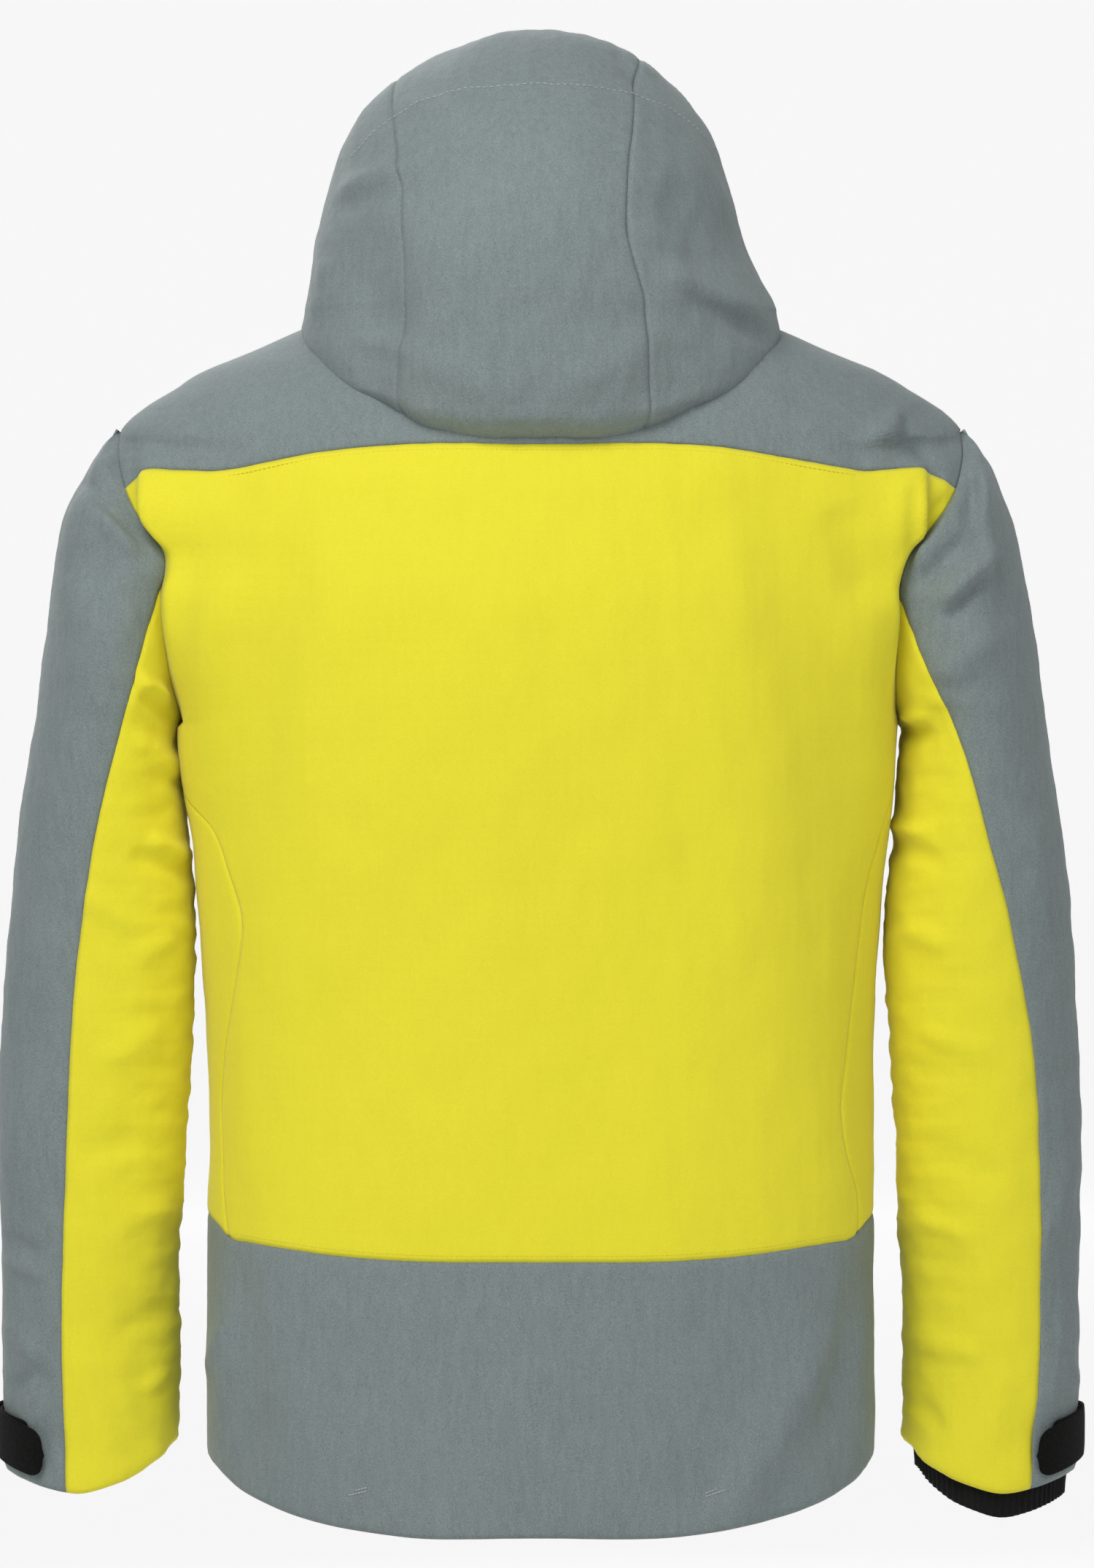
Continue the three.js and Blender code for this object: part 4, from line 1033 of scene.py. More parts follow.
@dataclass
class Trunk:
    """Back, side, front and yoke panels, the hem bands and the collar.

    Attributes:
        wardrobe: The finishes.
        wall: The shell's thickness.
        collar_wall: The collar's thickness.
    """

    wardrobe: Wardrobe
    wall: float = 2.4
    collar_wall: float = 4.0

    def panels(self) -> dict[str, Panel]:
        """Every trunk panel by its node's name."""
        found = {
            "back_hem_panel": Panel(
                constant(0), constant(math.pi), HEM_LINE, HEM_SEAM, (S, S, T, S), (640, 190),
            ),
            "back_panel": Panel(
                lambda h: side_turn(1, h), right_of(lambda h: side_turn(-1, h)),
                HEM_SEAM, YOKE_SEAM, (S, S, S, S), (560, 520),
            ),
            "back_yoke": Panel(
                self.shoulder_turn, right_of(self.shoulder_turn), YOKE_SEAM, constant(NECK), (S, S, S, S),
                (500, 150),
            ),
        }
        for side, label in SIDE_NAMES.items():
            mirrored = side < 0
            found[f"side_panel_{label}"] = Panel(
                lambda h: -front_turn(h), lambda h, side=side: side_turn(side, h),
                HEM_SEAM, constant(ARMPIT), (S, S, S, P), (150, 330), mirrored,
            )
            found[f"front_hem_{label}"] = Panel(
                front_edge_turn, constant(0), FRONT_HEM, HEM_SEAM, (T, S, T, S), (300, 165), mirrored)
            found[f"front_panel_{label}"] = Panel(
                front_edge_turn, lambda h: -front_turn(h), HEM_SEAM, constant(FRONT_YOKE), (T, S, S, S),
                (260, 460), mirrored)
            found[f"front_yoke_{label}"] = Panel(
                front_edge_turn, lambda h: -self.shoulder_turn(h, front=True), constant(FRONT_YOKE),
                constant(NECK), (T, S, S, S), (270, 190), mirrored)
        return found

    @staticmethod
    def shoulder_turn(height: Array, front: bool = False) -> Array:
        """The yoke's outer edge: the armhole, then the seam along the shoulder's ridge."""
        armhole = ARMHOLE.read(ARMHOLE.front if front else ARMHOLE.back, height)
        ridge = -SHOULDER_TURN if front else SHOULDER_TURN
        return np.where(height < ARM_TOP, np.maximum(armhole, ridge), ridge)

    def build(self) -> list[bpy.types.Object]:
        """Makes the panels and the collar, riding on the root.

        Returns:
            The pieces.
        """
        made = []
        for name, panel in self.panels().items():
            yellow = "panel" in name and "hem" not in name
            piece = cloth(
                f"cloth_{name}", [panel.grid()],
                self.wardrobe.yellow if yellow else self.wardrobe.grey, self.wall,
            )
            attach(piece, "root")
            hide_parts(name)
            made.append(piece)
        made.append(self.collar())
        return made

    def collar(self) -> bpy.types.Object:
        """The stand collar: a padded band whose middle swells 2 mm and whose top rolls over."""
        up = np.linspace(0, 1, 16)[None, :]
        height = NECK + 37.5 * up
        first = front_edge_turn(height)
        share = np.linspace(0, 1, 150)[:, None]
        turn = first + share * (2 * math.pi - 2 * (first + math.pi / 2))
        points = BODY.place(turn, height)
        x, y, h = np.moveaxis(points, -1, 0)
        lift = 1.6 * np.sin(math.pi * up) + ripple(x + y, h, 60, 0.35, 8)
        points = points + BODY.normal(turn, height) * lift[..., None]
        points = finish_edges(points, (T, T, S, T))
        piece = cloth("cloth_collar", [Patch(points)], self.wardrobe.grey, self.collar_wall)
        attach(piece, "root")
        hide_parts("collar")
        return piece


# ---------------------------------------------------------------- sleeves
SLEEVE_SEAM = {
    1: curve((20, 308), (50, 309), (146, 311), (184, 310), (270, 307), (337, 303.5), (375, 300.5), (413, 295),
             (451, 289), (489, 280.5), (527, 270.5), (565, 260), (603, 249), (616, 245.2), (622, 242), (640, 230)),
    -1: curve((20, 319), (50, 320), (108, 324), (184, 325.5), (260, 324), (299, 322), (337, 317.6), (375, 310),
              (413, 302), (451, 291), (489, 280.5), (527, 267.6), (565, 250), (600, 235.5), (609, 232.2), (614, 229),
              (630, 216)),
}
GAITER_DROP = {1: -3.0, -1: 16.0}
WEDGE_TOP = {1: 626.0, -1: 618.0}
TUCK = 0.05
CUFF_LINE = curve(
    (225, 66), (237, 62), (246, 53), (262, 42), (280, 35), (300, 30.5), (318, 33), (338, 39), (360, 48),
)


@dataclass
class Sleeve:
    """One sleeve: grey outer and yellow inner panels, lining and wrist gaiter.

    Attributes:
        side: 1 for the left, -1 for the right.
        wardrobe: The finishes.
        wall: The shell's thickness.
    """

    side: int
    wardrobe: Wardrobe
    wall: float = 2.2

    def surface(self, turn: Array, height: Array) -> Array:
        """The sleeve's form, pulled to the sewn armhole, on the left-hand side."""
        return SLEEVE.place(turn, height) + ARMHOLE.pull_sleeve(self.side, turn, height)

    def seam_turn(self, height: Array) -> Array:
        """The seam between grey and yellow, as the turn whose pulled x is the seam's."""
        height = np.asarray(height, float)
        target = SLEEVE_SEAM[self.side](height)
        turn = SLEEVE.turn_at(target, height)
        for _ in range(12):
            turn = SLEEVE.turn_at(target - ARMHOLE.pull_sleeve(self.side, turn, height)[..., 0], height)
        return turn

    def patch(self, start: Curve, end: Curve, low: Curve, high: Curve, size: tuple[float, float],
              edges: tuple[Edge, Edge, Edge, Edge], offset: float = 0.0, step: float = GRID_STEP,
              lifted: bool = True) -> Patch:
        """A patch of the sleeve between two turns and two heights, as Panel.grid does it.

        Args:
            start: Turn of the first edge, by height.
            end: Turn of the last edge, by height.
            low: Height of the lower edge, by x.
            high: Height of the upper edge, by x.
            size: Rough width and height.
            edges: Finishes of the four edges.
            offset: Distance out from the form.
            step: Grid spacing.
            lifted: Whether the folds are added.

        Returns:
            The patch, on its own side.
        """
        across = np.linspace(0, 1, int(size[0] / step) + 2)[:, None]
        up = np.linspace(0, 1, int(size[1] / step) + 2)[None, :]
        height = np.broadcast_to(
            low(np.array(290.0)) * (1 - up) + high(np.array(290.0)) * up, (across.size, up.size)
        ).copy()
        turn = np.zeros_like(height)
        for _ in range(12):
            turn = start(height) * (1 - across) + end(height) * across
            x = SLEEVE.place(turn, height)[..., 0]
            height = low(x) * (1 - up) + high(x) * up
        points = self.surface(turn, height)
        lift = (sleeve_lift(points, self.side) if lifted else 0.0) + offset
        points = points + grid_normals(points) * np.asarray(lift)[..., None]
        points = finish_edges(points, edges) * (self.side, 1, 1)
        return Patch(points, flip=self.side < 0)

    @staticmethod
    def tuck(height: Array) -> Array:
        """How much further the sleeve turns, to lie under the trunk's edge."""
        return TUCK * smooth(ARMPIT, ARMPIT + 14, height)

    def arm_back(self, height: Array) -> Array:
        """The turn where the sleeve's back meets the trunk, or half a turn below the armpit."""
        return np.where(height < ARMPIT, math.pi, ARMHOLE.read(ARMHOLE.arm_back, height) + self.tuck(height))

    def arm_front(self, height: Array) -> Array:
        """The same on the front."""
        seam = -ARMHOLE.read(ARMHOLE.arm_front, height) - self.tuck(height)
        return np.where(height < ARMPIT, -math.pi, seam)

    def grey_patch(self) -> Patch:
        """The outer panel, from the front seam over the outside to the back seam."""
        def back(height: Array) -> Array:
            return np.minimum(self.seam_turn(height), self.arm_back(height))

        def front(height: Array) -> Array:
            return np.maximum(-self.seam_turn(height), self.arm_front(height))

        return self.patch(front, back, CUFF_LINE, constant(ARM_TOP), (230, 690), (S, S, T, P))

    def yellow_patches(self) -> list[Patch]:
        """The inner panel's back and front halves, joined below the armpit, parted by the armhole above."""
        top = constant(WEDGE_TOP[self.side])
        back = self.patch(
            self.seam_turn, lambda h: np.maximum(self.arm_back(h), self.seam_turn(h)), CUFF_LINE, top,
            (120, 590), (S, P, T, P),
        )
        front = self.patch(
            lambda h: np.minimum(self.arm_front(h), -self.seam_turn(h)), lambda h: -self.seam_turn(h),
            CUFF_LINE, top, (120, 590), (P, S, T, P),
        )
        return [back, front]

    def lining_patches(self) -> list[Patch]:
        """The lining: a ring below the armpit and an open band above it, 8 mm inside the shell."""
        ring = self.patch(
            constant(-math.pi), constant(math.pi), lambda x: CUFF_LINE(x) + 40, constant(ARMPIT),
            (330, 470), (P, P, T, P), -8.0, 7.0, False,
        )
        band = self.patch(
            self.arm_front, self.arm_back, constant(ARMPIT), constant(ARM_TOP - 8), (260, 190), (P, P, P, P),
            -8.0, 7.0, False,
        )
        return [ring, band]

    def gaiter_patch(self) -> Patch:
        """The knitted gaiter: a ribbed ring inside the cuff, gathered at its lower edge."""
        drop = GAITER_DROP[self.side]
        across = np.linspace(-math.pi, math.pi, 361)[:-1, None]
        up = np.linspace(0, 1, 22)[None, :]
        turn = np.broadcast_to(across, (across.size, up.size))
        height = np.full(turn.shape, 60.0)
        for _ in range(8):
            x = SLEEVE.place(turn, height)[..., 0]
            height = CUFF_LINE(x) - drop + up * 66
        ribs = 0.55 * np.cos(turn * 72)
        offset = -8.5 + 1.5 * smooth(0, 0.3, up) + ribs + 0.5 * ripple(turn * 50, height, 40, 0.6, 9)
        points = SLEEVE.place(turn, height) + SLEEVE.normal(turn, height) * offset[..., None]
        return Patch(points * (self.side, 1, 1), flip=self.side < 0, closed=True)

    def hang(self, piece: bpy.types.Object, slot: str, node: str) -> None:
        """Bakes a sleeve piece's placement into its mesh and hides the node it stands for.

        Args:
            piece: The piece.
            slot: Its material slot; not used.
            node: The node it stands for.
        """
        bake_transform(piece)
        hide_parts(f"{node}_{SIDE_NAMES[self.side]}")

    def build(self) -> list[bpy.types.Object]:
        """Makes the sleeve's pieces.

        Returns:
            The pieces.
        """
        label = SIDE_NAMES[self.side]
        outer = cloth(f"cloth_sleeve_outer_{label}", [self.grey_patch()], self.wardrobe.grey, self.wall)
        inner = cloth(f"cloth_sleeve_inner_{label}", self.yellow_patches(), self.wardrobe.yellow, self.wall)
        lining = cloth(f"cloth_sleeve_lining_{label}", self.lining_patches(), self.wardrobe.lining, 0.8)
        gaiter = cloth(f"knit_gaiter_{label}", [self.gaiter_patch()], self.wardrobe.knit, 1.6)
        self.hang(outer, "grey_shell", "sleeve_outer_panel")
        self.hang(inner, "yellow_shell", "sleeve_inner_panel")
        self.hang(lining, "lining", "sleeve_lining")
        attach(gaiter, f"sleeve_{label}")
        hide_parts(f"wrist_gaiter_{label}")
        return [outer, inner, lining, gaiter]


# ---------------------------------------------------------------- hood
@dataclass
class Hood:
    """The hood: a dome swept about an axis from ear to ear, on a short upright wall.

    Attributes:
        wardrobe: The finishes.
        half_width: Half the width at the ears.
        middle: y and height of the ear-to-ear axis.
        wall: The shell's thickness.
        sway: How far the crown leans to the left.
    """

    wardrobe: Wardrobe
    half_width: float = 154.0
    middle: tuple[float, float] = (5.0, 800.0)
    wall: float = 2.4
    sway: float = 7.5

    PROFILE = (
        (150, 800), (151, 831), (144, 871), (128, 908), (108, 932), (84, 952), (56, 969), (30, 979), (2, 984),
        (-32, 984), (-72, 979), (-104, 968), (-126, 950), (-137, 928), (-141, 900), (-141, 860), (-138, 830),
        (-132, 800),
    )
    SLIMMING = ((780, 1.0), (800, 0.995), (813, 0.972), (832, 0.943), (851, 0.932), (889, 0.95), (908, 0.98),
                (927, 1.0), (946, 1.0), (990, 1.0))
    EDGE = staticmethod(even((0, 711), (50, 712), (77, 718), (100, 727), (119, 735), (128, 741), (137, 750), (141, 755),
                (148, 764), (153, 774), (160, 780)))
    SEAM = {1: 88.0, -1: 68.0}

    def dome(self, swing: Array, lean: Array) -> Array:
        """The dome: x = half-width * sin(lean), slimmed by height; reach = profile * cos(lean).

        Args:
            swing: Angle about the axis, 0 at the back and half a turn at the front.
            lean: Angle from the centre plane towards an ear.

        Returns:
            Points.
        """
        rel = np.array(self.PROFILE, float) - self.middle
        knots = np.column_stack([np.arctan2(rel[:, 1], rel[:, 0]), np.hypot(rel[:, 0], rel[:, 1])])
        reach = through(knots, swing)[..., 0] * np.cos(lean)
        height = self.middle[1] + reach * np.sin(swing)
        x = self.half_width * np.sin(lean) * through(self.SLIMMING, height)[..., 0]
        x = x + self.sway * smooth(795, 850, height) * smooth(992, 930, height)
        return np.stack([x, self.middle[0] + reach * np.cos(swing), height], -1)

    def wall_points(self, lean: Array, up: Array, back: bool) -> Array:
        """The upright wall under the dome, drawn in a little towards its lower edge.

        Args:
            lean: Angle from the centre plane towards an ear.
            up: 0 at the lower edge, 1 where the dome starts.
            back: Whether it is the back wall.

        Returns:
            Points.
        """
        top = self.dome(np.array(0.0 if back else math.pi), lean)
        edge = self.EDGE(top[..., 0]) if back else np.full(np.shape(top[..., 0]), 786.0)
        height = edge + (self.middle[1] - edge) * up
        drawn = (1 - up) * (18 * np.cos(lean) ** 2 if back else 0.0)
        rise = height - edge
        swell = (3 + 6 * np.cos(lean)) * smooth(0, 16, rise) * smooth(1, 0.35, up)
        roll = swell - 5 * np.exp(-((rise / 6) ** 2)) if back else 0.0
        x = top[..., 0] + roll * np.sin(lean)
        y = top[..., 1] - drawn + roll * np.cos(lean)
        return np.stack(np.broadcast_arrays(x, y, height), -1)

    def lift(self, points: Array) -> Array:
        """The hood's soft dents: broad waves and a few folds by the seams and over the nape."""
        x, y, h = np.moveaxis(points, -1, 0)
        folds = (
            Fold((130, 874), (84, 888), 6, 4.2, 0.3), Fold((128, 862), (88, 872), 6, -3.0),
            Fold((108, 850), (103, 735), 17, -6.0), Fold((62, 850), (66, 740), 20, 3.0),
            Fold((118, 778), (82, 768), 7, 3.4), Fold((138, 830), (146, 790), 7, 3.0),
            Fold((-48, 966), (-66, 944), 4, -3.0), Fold((-56, 968), (-72, 950), 3.5, 2.6),
            Fold((-52, 952), (-68, 936), 3.5, -2.2), Fold((-92, 902), (-126, 854), 10, 3.6),
            Fold((-80, 872), (-117, 812), 13, -5.0), Fold((-82, 818), (-144, 792), 7, 4.4, 0.3),
            Fold((-98, 804), (-146, 779), 7, -4.4), Fold((-88, 770), (-80, 735), 14, -3.6),
            Fold((-62, 846), (-92, 836), 6, 2.4), Fold((40, 920), (92, 930), 8, 2.2),
            Fold((20, 906), (60, 885), 9, 2.0), Fold((-20, 905), (-60, 893), 9, -2.0),
            Fold((90, 770), (20, 735), 12, 2.6), Fold((-70, 776), (-14, 738), 13, 2.6),
        )
        back = smooth(-30, 60, y)
        return total_lift(folds, x, h) * back + ripple(x, h + y, 95, 0.8, 17) + ripple(x, h - y, 30, 0.12, 19)

    def patch(self, points: Array, edges: tuple[Edge, Edge, Edge, Edge], offset: float) -> Patch:
        """A patch pushed out by the hood's dents and an offset, wound to face outwards.

        Args:
            points: Grid on the plain surface.
            edges: Finishes of its four edges.
            offset: Distance out from the plain surface.

        Returns:
            The patch.
        """
        normal = grid_normals(points)
        outward = points - (0, *self.middle)
        sign = 1.0 if float(np.sum(normal * outward)) > 0 else -1.0
        lift = self.lift(points) + offset
        points = points + sign * normal * lift[..., None]
        return Patch(finish_edges(points, edges, sign), flip=sign < 0)

    def mouth(self, lean: Array) -> Array:
        """The swing of the face opening's edge: over the brow, then down to the axis at its sides."""
        brow = math.radians(139)
        return brow + (math.pi - brow) * smooth(math.radians(23), math.radians(41), np.abs(lean))

    def centre(self, offset: float = 0.0, brim: bool = False) -> list[Patch]:
        """The centre panel, from the nape over the crown, or the brim ahead of it.

        Args:
            offset: Distance out from the plain surface.
            brim: Whether the brim is wanted.

        Returns:
            The patches.
        """
        share = np.linspace(0, 1, 58)[:, None]
        low, high = -self.seam_lean(-1), self.seam_lean(1)
        lean = low + (high - low) * share
        brim_start = math.radians(112)
        if brim:
            along = np.linspace(0, 1, 22)[None, :]
            swing = brim_start + (self.mouth(lean) - brim_start) * along
            return [self.patch(self.dome(swing, lean), (S, S, S, T), offset)]
        swing = np.linspace(0, 1, 100)[None, :] * brim_start
        up = np.linspace(0, 1, 30)[None, :]
        nape = self.wall_points(lean, up, True)
        dome = self.dome(swing, np.broadcast_to(lean, (lean.size, swing.size)))
        joined = np.concatenate([nape[:, :-1], dome], axis=1)
        return [self.patch(joined, (S, S, T, S), offset)]

    def seam_lean(self, side: int) -> float:
        """The lean of one hood seam, from its distance from the centre line."""
        return math.asin(self.SEAM[side] / self.half_width)

    def side_patches(self, side: int, offset: float = 0.0) -> list[Patch]:
        """A side panel: the dome from the seam to the ear, and the walls under it.

        Args:
            side: 1 for the left, -1 for the right.
            offset: Distance out from the plain surface.

        Returns:
            The patches.
        """
        first = self.seam_lean(side)
        last = math.radians(89.6)
        lean = side * np.linspace(first, last, 44)[:, None]
        share = np.linspace(0, 1, 120)[None, :]
        dome = self.dome(self.mouth(lean) * share, lean)
        up = np.linspace(0, 1, 30)[None, :]
        nape = self.wall_points(lean, up, True)
        joined = np.concatenate([nape[:, :-1], dome], axis=1)
        cheek_lean = side * np.linspace(math.radians(41), last, 30)[:, None]
        cheek = self.wall_points(cheek_lean, np.linspace(1, 0, 6)[None, :], False)
        return [self.patch(joined, (S, P, T, T), offset), self.patch(cheek, (T, P, P, P), offset)]

    def stitch_line(self) -> tuple[Array, Array]:
        """The topstitch over the crown: points and normals along a curve across all three panels."""
        height = even((0, 941), (25, 940), (47, 938), (66, 934), (90, 923.5), (108, 910), (122, 897))
        x = np.linspace(122, -114, 240)
        swing = np.linspace(0.02, math.pi / 2, 500)[None, :]
        lean = np.arcsin(np.clip(x / self.half_width, -1, 1))[:, None]
        for _ in range(3):
            surface = self.dome(swing, lean)
            lean = lean + (x[:, None] - surface[..., 0]) / self.half_width
        nearest = np.argmin(np.abs(surface[..., 2] - height(x)[:, None]), axis=1)
        rows = np.arange(x.size)
        points = surface[rows, nearest]
        normal = grid_normals(surface)[rows, nearest]
        sign = np.sign(np.sum(normal * (points - (0, *self.middle)), axis=-1, keepdims=True))
        normal = normal * sign
        return points + normal * (self.lift(points) + 0.1)[:, None], normal

    def hang(self, piece: bpy.types.Object, slot: str, *nodes: str) -> None:
        """Bakes a hood piece's placement into its mesh and hides the nodes it stands for.

        Args:
            piece: The piece.
            slot: Its material slot; not used.
            nodes: The nodes it stands for.
        """
        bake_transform(piece)
        if nodes:
            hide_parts(*nodes)

    def build(self) -> list[bpy.types.Object]:
        """Makes the hood's pieces.

        Returns:
            The pieces.
        """
        grey = self.wardrobe.grey
        centre = cloth("cloth_hood_centre", self.centre(), grey, self.wall)
        self.hang(centre, "grey_shell", "hood_centre_panel")
        brim = cloth("cloth_hood_brim", self.centre(brim=True), grey, self.wall + 0.8)
        self.hang(brim, "grey_shell", "hood_brim")
        made = [centre, brim]
        inside: list[Patch] = self.centre(-5.5) + self.centre(-5.5, brim=True)
        for side, label in SIDE_NAMES.items():
            piece = cloth(f"cloth_hood_side_{label}", self.side_patches(side), grey, self.wall)
            self.hang(piece, "grey_shell", f"hood_side_{label}")
            inside += self.side_patches(side, -5.5)
            made.append(piece)
        lining = cloth("cloth_hood_lining", inside, self.wardrobe.lining, 0.8)
        self.hang(lining, "lining", "hood_lining")
        stitches = dashes("stitch_hood", *self.stitch_line(), self.wardrobe.pale_thread, 4.4, 3.0, 0.75, 0.45)
        self.hang(stitches, "grey_shell")
        return [*made, lining, stitches]


# ---------------------------------------------------------------- linings
LINING_DEPTH = -11.0
LINING_EDGE_X = 27.0


@dataclass
class Inside:
    """Body lining, powder skirt and storm flap."""

    wardrobe: Wardrobe

    def build(self) -> list[bpy.types.Object]:
        """Makes the pieces, riding on the root.

        Returns:
            The pieces.
        """
        def flap_edge(height: Array) -> Array:
            return -BODY.turn_at(np.full(np.shape(height), LINING_EDGE_X), height)

        def back_edge(height: Array) -> Array:
            return np.where(height < ARM_TOP, np.maximum(ARMHOLE.read(ARMHOLE.back, height), 0), 0.0)

        def front_edge(height: Array) -> Array:
            return np.where(height < ARM_TOP, -np.maximum(ARMHOLE.read(ARMHOLE.front, height), 0), 0.0)

        low, high, edges = constant(72), constant(804), (P, P, T, T)
        outer = Panel(back_edge, right_of(back_edge), low, high, edges, (620, 730))
        patches = [outer.grid(LINING_DEPTH, 7.0, False)]
        for mirrored in (False, True):
            front = Panel(flap_edge, front_edge, low, high, edges, (320, 730), mirrored)
            patches.append(front.grid(LINING_DEPTH, 7.0, False))
        lining = cloth("cloth_body_lining", patches, self.wardrobe.lining, 0.8)
        made = [lining, self.skirt(), self.flap()]
        for piece, node in zip(made, ("body_lining", "powder_skirt", "storm_flap")):
            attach(piece, "root")
            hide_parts(node)
        return made

    def skirt(self) -> bpy.types.Object:
        """The powder skirt: a ring gathered by elastic at its lower edge."""
        up = np.linspace(0, 1, 40)[None, :]
        turn = np.linspace(CENTRE_FRONT + 0.14, CENTRE_FRONT + 2 * math.pi - 0.14, 560)[:, None]
        height = 170 + 106 * up
        gather = (1 - up) ** 2 * 2.2 * np.sin(turn * 90) * (0.6 + 0.4 * np.sin(turn * 13))
        offset = -17 - 6 * (1 - up) + gather
        points = BODY.place(turn, height) + BODY.normal(turn, height) * offset[..., None]
        return cloth("cloth_powder_skirt", [Patch(points)], self.wardrobe.lining, 1.2)

    def flap(self) -> bpy.types.Object:
        """The storm flap: a padded strip behind the zip that follows the front edge."""
        x = np.linspace(-24, 24, 20)[:, None]
        height = np.linspace(54, 778, 160)[None, :]
        swell = 1.2 * np.cos(x / 24 * math.pi / 2)
        y = 0.045 * height - 158 + 9.5 - swell
        points = np.stack(np.broadcast_arrays(x, y, height), -1)
        return cloth("cloth_storm_flap", [Patch(points)], self.wardrobe.lining, 1.4)


# ---------------------------------------------------------------- trims
def bars(centres: Array, size: tuple[float, float, float], slant: float = 0.0) -> tuple[Array, Array]:
    """Many equal blocks: each is eight corners about its centre.

    Args:
        centres: One centre a row.
        size: Width, depth and height.
        slant: How far y moves for each unit of height within a block.

    Returns:
        Vertices and faces.
    """
    corner = np.array([(x, y, z) for x in (-1, 1) for y in (-1, 1) for z in (-1, 1)], float) / 2
    corner = corner * size
    corner[:, 1] += slant * corner[:, 2]
    vertices = (centres[:, None, :] + corner[None]).reshape(-1, 3)
    one = np.array([(0, 1, 3, 2), (4, 6, 7, 5), (0, 4, 5, 1), (2, 3, 7, 6), (0, 2, 6, 4), (1, 5, 7, 3)])
    faces = (one[None] + 8 * np.arange(len(centres))[:, None, None]).reshape(-1, 4)
    return vertices, faces


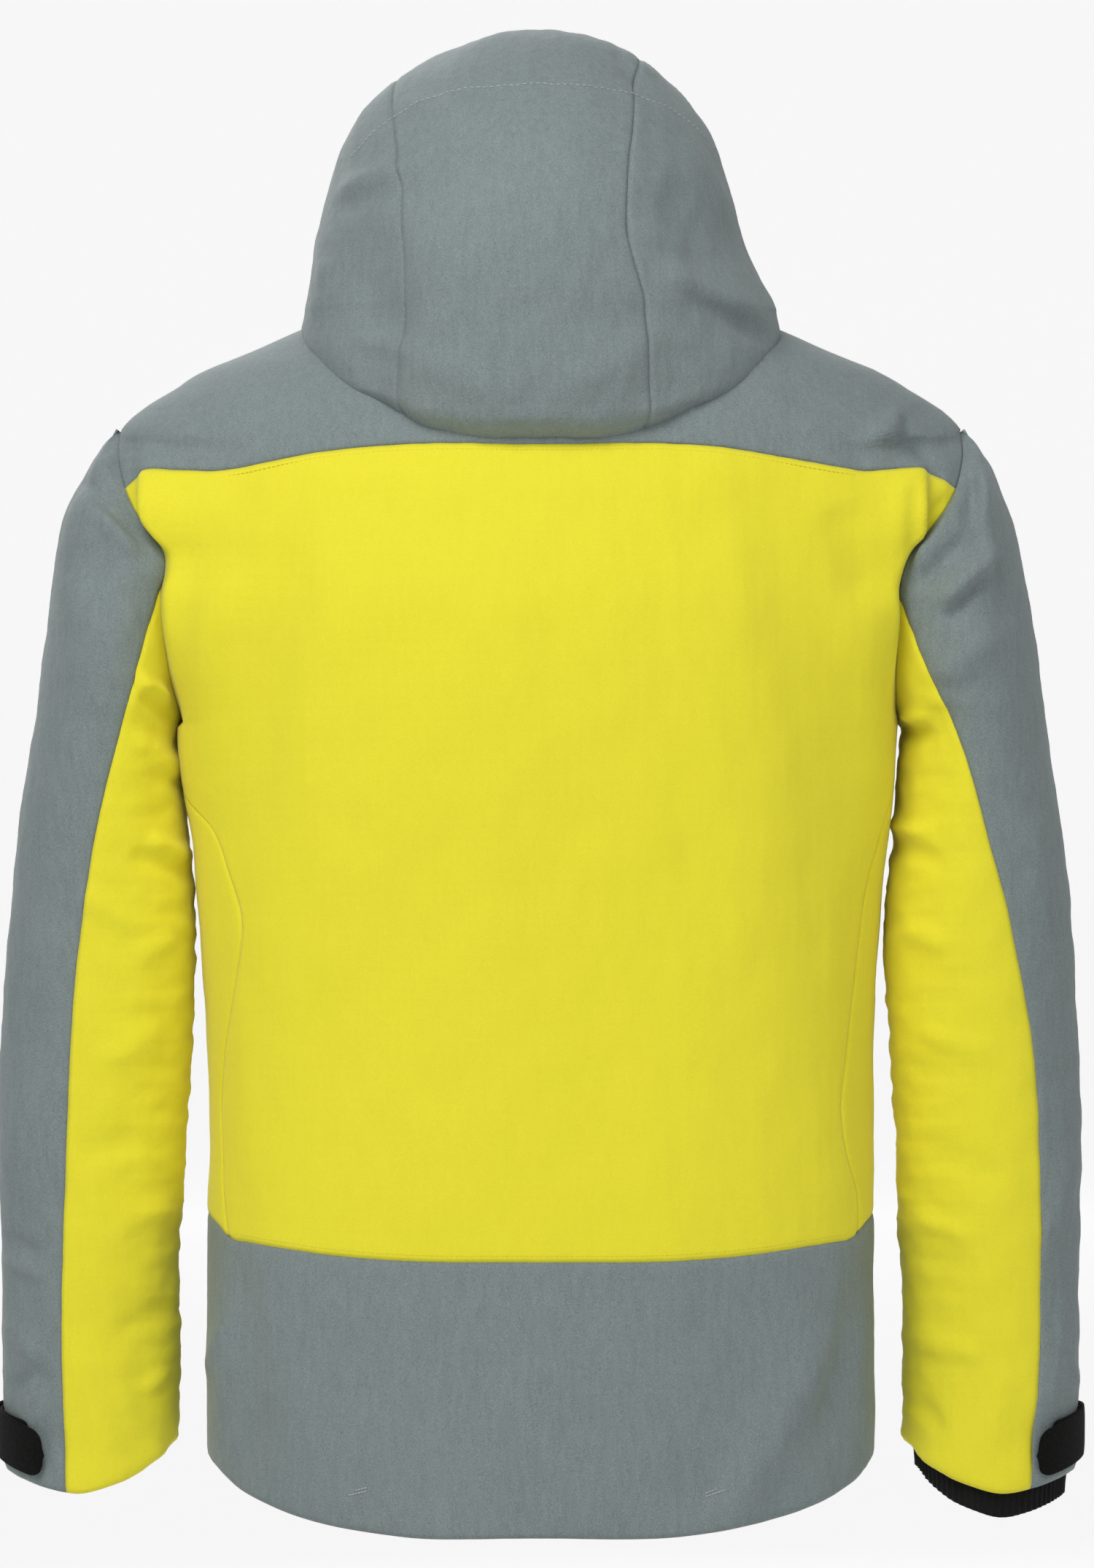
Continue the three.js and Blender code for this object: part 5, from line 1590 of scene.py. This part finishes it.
@dataclass
class Trims:
    """Zips, cuff straps, stitching and the bought-in hardware's finishes."""

    wardrobe: Wardrobe

    def front_zip(self) -> list[bpy.types.Object]:
        """The front zip: two woven tapes, each with a row of moulded teeth that meet at the centre."""
        made = []
        for side, label in SIDE_NAMES.items():
            height = np.linspace(52.5, 853.5, 400)[None, :]
            x = side * np.linspace(0.9, 5.6, 5)[:, None]
            y = front_line(0) + 0.045 * height + 1.6
            tape = np.stack(np.broadcast_arrays(x, y, height), -1)
            piece = cloth(f"zip_tape_{label}", [Patch(tape, flip=side < 0)], self.wardrobe.tape, 0.9)
            rows = np.arange(54.0 + (1.5 if side > 0 else 0.0), 852, 3.0)
            along = front_line(0) + 0.045 * rows + 1.5
            centres = np.column_stack([np.full(rows.size, side * 1.35), along, rows])
            vertices, faces = bars(centres, (3.2, 2.6, 1.45), 0.045)
            teeth = new_object(f"zip_teeth_{label}", vertices, faces, self.wardrobe.moulded)
            teeth.data.polygons.foreach_set("use_smooth", np.zeros(len(teeth.data.polygons), bool))
            soften = teeth.modifiers.new("soften", "BEVEL")
            soften.width = 0.0003
            soften.segments = 1
            for part in (piece, teeth):
                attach(part, "root")
            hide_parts(f"front_zip_{label}")
            made += [piece, teeth]
        return made

    def cuff_strap(self, side: int) -> list[bpy.types.Object]:
        """One cuff's strap and pile patch: bands that follow the sleeve's section.

        Args:
            side: 1 for the left, -1 for the right.

        Returns:
            The strap and the patch.
        """
        label = SIDE_NAMES[side]
        made = []
        for name, node, body, angles, level, tall, offset, wall in (
            ("cuff_strap", "cuff_tab", "tab", (-60, 62), (72, 70, 55), 31, 4.4, 2.0),
            ("cuff_patch", "cuff_loop_patch", "sleeve", (-20, 50), (69, 66, 60), 33, 1.9, 1.4),
        ):
            share = np.linspace(0, 1, 90)[:, None]
            up = np.linspace(-1, 1, 22)[None, :]
            round_end = np.sqrt(np.clip(1 - ((share - 0.86) / 0.14).clip(0) ** 4, 0.0, 1)) * 0.995 + 0.005
            turn = np.radians(angles[0] + (angles[1] - angles[0]) * share)
            middle = curve((0, level[0]), (0.5, level[1]), (1, level[2]))(share)
            height = middle + up * tall / 2 * round_end
            turn = np.broadcast_to(turn, height.shape)
            swell = 0.5 * (1 - up**4)
            points = SLEEVE.place(turn, height)
            points = points + SLEEVE.normal(turn, height) * (offset + swell)[..., None]
            made_piece = cloth(
                f"{name}_{label}", [Patch(points * (side, 1, 1), flip=side < 0)],
                self.wardrobe.pile, wall, False,
            )
            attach(made_piece, f"{body}_{label}")
            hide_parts(f"{node}_{label}")
            made.append(made_piece)
        return made

    def stitching(self) -> list[bpy.types.Object]:
        """Topstitching above the hem seam and under the yoke seam, and two bar-tacks at the hem."""
        made = []
        for name, line, gap, reach in (("hem", HEM_SEAM, 4.0, 199.0), ("yoke", YOKE_SEAM, -4.0, 232.0)):
            x = np.linspace(reach, -reach, 300)
            height = line(x) + gap
            turn = BODY.turn_at(x, height)
            points = BODY.place(turn, height)
            normal = BODY.normal(turn, height)
            points = points + normal * (body_lift(points) - 0.15)[:, None]
            row = dashes(f"stitch_{name}", points, normal, self.wardrobe.yellow_thread, 3.2, 2.3, 0.5, 0.3)
            made.append(row)
        for side, middle, tilt in ((1, 117.0, -1.5), (-1, 112.0, 2.0)):
            for index in range(2):
                x = side * np.linspace(middle - 6, middle + 6 - 5 * index, 12)
                height = 38.0 + index * 2.2 + tilt * (np.abs(x) - middle) / 6
                turn = BODY.turn_at(x, height)
                points = BODY.place(turn, height)
                normal = BODY.normal(turn, height)
                points = points + normal * (body_lift(points) + 0.1)[:, None]
                row = dashes(
                    f"bartack_{SIDE_NAMES[side]}_{index}", points, normal, self.wardrobe.pale_thread,
                    2.0, 1.9, 0.9, 0.5,
                )
                made.append(row)
        for row in made:
            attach(row, "root")
        return made

    def dress_hardware(self) -> None:
        """Gives each bought-in piece that stays as it is its finish."""
        finish = {
            "metal": self.wardrobe.metal, "moulded": self.wardrobe.moulded, "zip_tape": self.wardrobe.tape,
            "cord": self.wardrobe.knit, "loop_pile": self.wardrobe.pile, "lining": self.wardrobe.lining,
            "knit": self.wardrobe.knit, "grey_shell": self.wardrobe.grey, "yellow_shell": self.wardrobe.yellow,
        }
        slots = {part["node"]: part["material_slot"] for part in frame["record"]["subparts"]}
        for node, made in frame["nodes"].items():
            for index in range(len(made.material_slots)):
                made.material_slots[index].material = finish[slots[node]]

    def build(self) -> list[bpy.types.Object]:
        """Makes every trim.

        Returns:
            The pieces.
        """
        self.dress_hardware()
        return [*self.front_zip(), *self.cuff_strap(1), *self.cuff_strap(-1), *self.stitching()]


# ---------------------------------------------------------------- studio
@dataclass
class Studio:
    """A pale sweep, soft lights and a level camera behind the jacket."""

    distance: float = 6.0
    view_height: float = 1.0238
    aim: tuple[float, float] = (-0.0043, -0.3266)

    def build(self) -> None:
        """Makes the backdrop, the lights and the camera."""
        self.backdrop()
        self.light("key", (0.8, 1.9, 1.6), 1.4, 46)
        self.light("fill", (-1.6, 3.0, 0.9), 1.6, 18)
        self.light("front", (0.9, -3.0, 1.6), 2.0, 60)
        world = bpy.data.worlds.new("studio")
        bpy.context.scene.world = world
        world.use_nodes = True
        shade = world.node_tree.nodes["Background"]
        shade.inputs["Color"].default_value = (1, 1, 1, 1)
        shade.inputs["Strength"].default_value = 0.3
        lens = bpy.data.cameras.new("camera")
        lens.sensor_width = 36
        lens.lens = 36 * self.distance / self.view_height
        lens.clip_end = 60
        camera = bpy.data.objects.new("camera", lens)
        camera.location = (self.aim[0], self.distance - ORIGIN[1] * MM, self.aim[1])
        camera.rotation_euler = (math.pi / 2, 0, math.pi)
        bpy.context.scene.collection.objects.link(camera)
        bpy.context.scene.camera = camera
        bpy.context.scene.view_settings.view_transform = "Standard"

    def backdrop(self) -> None:
        """A floor that sweeps up into a wall on every side: height = rise * smoothed distance.

        Its far side glows, so that it stays pale without lighting the side that is looked at.
        """
        reach = np.linspace(0, 26, 90)[:, None]
        turn = np.linspace(0, 2 * math.pi, 97)[None, :-1]
        height = -1.25 + 12 * smooth(14, 26, reach) + 0 * turn
        points = np.stack(np.broadcast_arrays(reach * np.cos(turn), reach * np.sin(turn), height), -1)
        patch = Patch(np.swapaxes(points, 0, 1) / MM + ORIGIN, flip=True, closed=True)
        material = Hard("sweep", (0.9, 0.9, 0.9), 0.9).make()
        tree, shader = _links(material)
        place = _node(tree, "ShaderNodeTexCoord")
        split = _node(tree, "ShaderNodeSeparateXYZ")
        glow = _node(tree, "ShaderNodeMapRange", From_Min=-2.5, From_Max=-4.5)
        tree.links.new(place.outputs["Object"], split.inputs[0])
        tree.links.new(split.outputs["Y"], glow.inputs["Value"])
        tree.links.new(glow.outputs["Result"], shader.inputs["Emission Color"])
        shader.inputs["Emission Strength"].default_value = 0.54
        vertices = patch.points.reshape(-1, 3)
        floor = new_object("floor", vertices, patch.faces(0), material)

    def light(self, name: str, place: tuple[float, float, float], size: float, power: float) -> None:
        """Adds one square soft light aimed at the jacket.

        Args:
            name: The light's name.
            place: Where it stands.
            size: Side of the square, in metres.
            power: Watts.
        """
        lamp = bpy.data.lights.new(name, "AREA")
        lamp.size = size
        lamp.energy = power
        made = bpy.data.objects.new(name, lamp)
        made.location = place
        aim = np.array([0, 0, -0.35]) - np.array(place)
        yaw = math.atan2(aim[1], aim[0]) - math.pi / 2
        pitch = math.atan2(aim[2], math.hypot(aim[0], aim[1])) + math.pi / 2
        made.rotation_euler = (pitch, 0, yaw)
        bpy.context.scene.collection.objects.link(made)


def main() -> None:
    """Builds the studio and every sub-assembly in order, and reports each piece."""
    logging.basicConfig(level=logging.INFO, format="%(name)s: %(message)s")
    Studio().build()
    wardrobe = Wardrobe()
    pieces: list[bpy.types.Object] = []
    for part in (Trunk(wardrobe), Sleeve(1, wardrobe), Sleeve(-1, wardrobe), Hood(wardrobe), Inside(wardrobe),
                 Trims(wardrobe)):
        made = part.build()
        pieces += made
        for piece in made:
            log.info("%s: %s, %d faces", type(part).__name__, piece.name, len(piece.data.polygons))
    log.info("%d pieces", len(pieces))


if __name__ == "__main__":
    main()
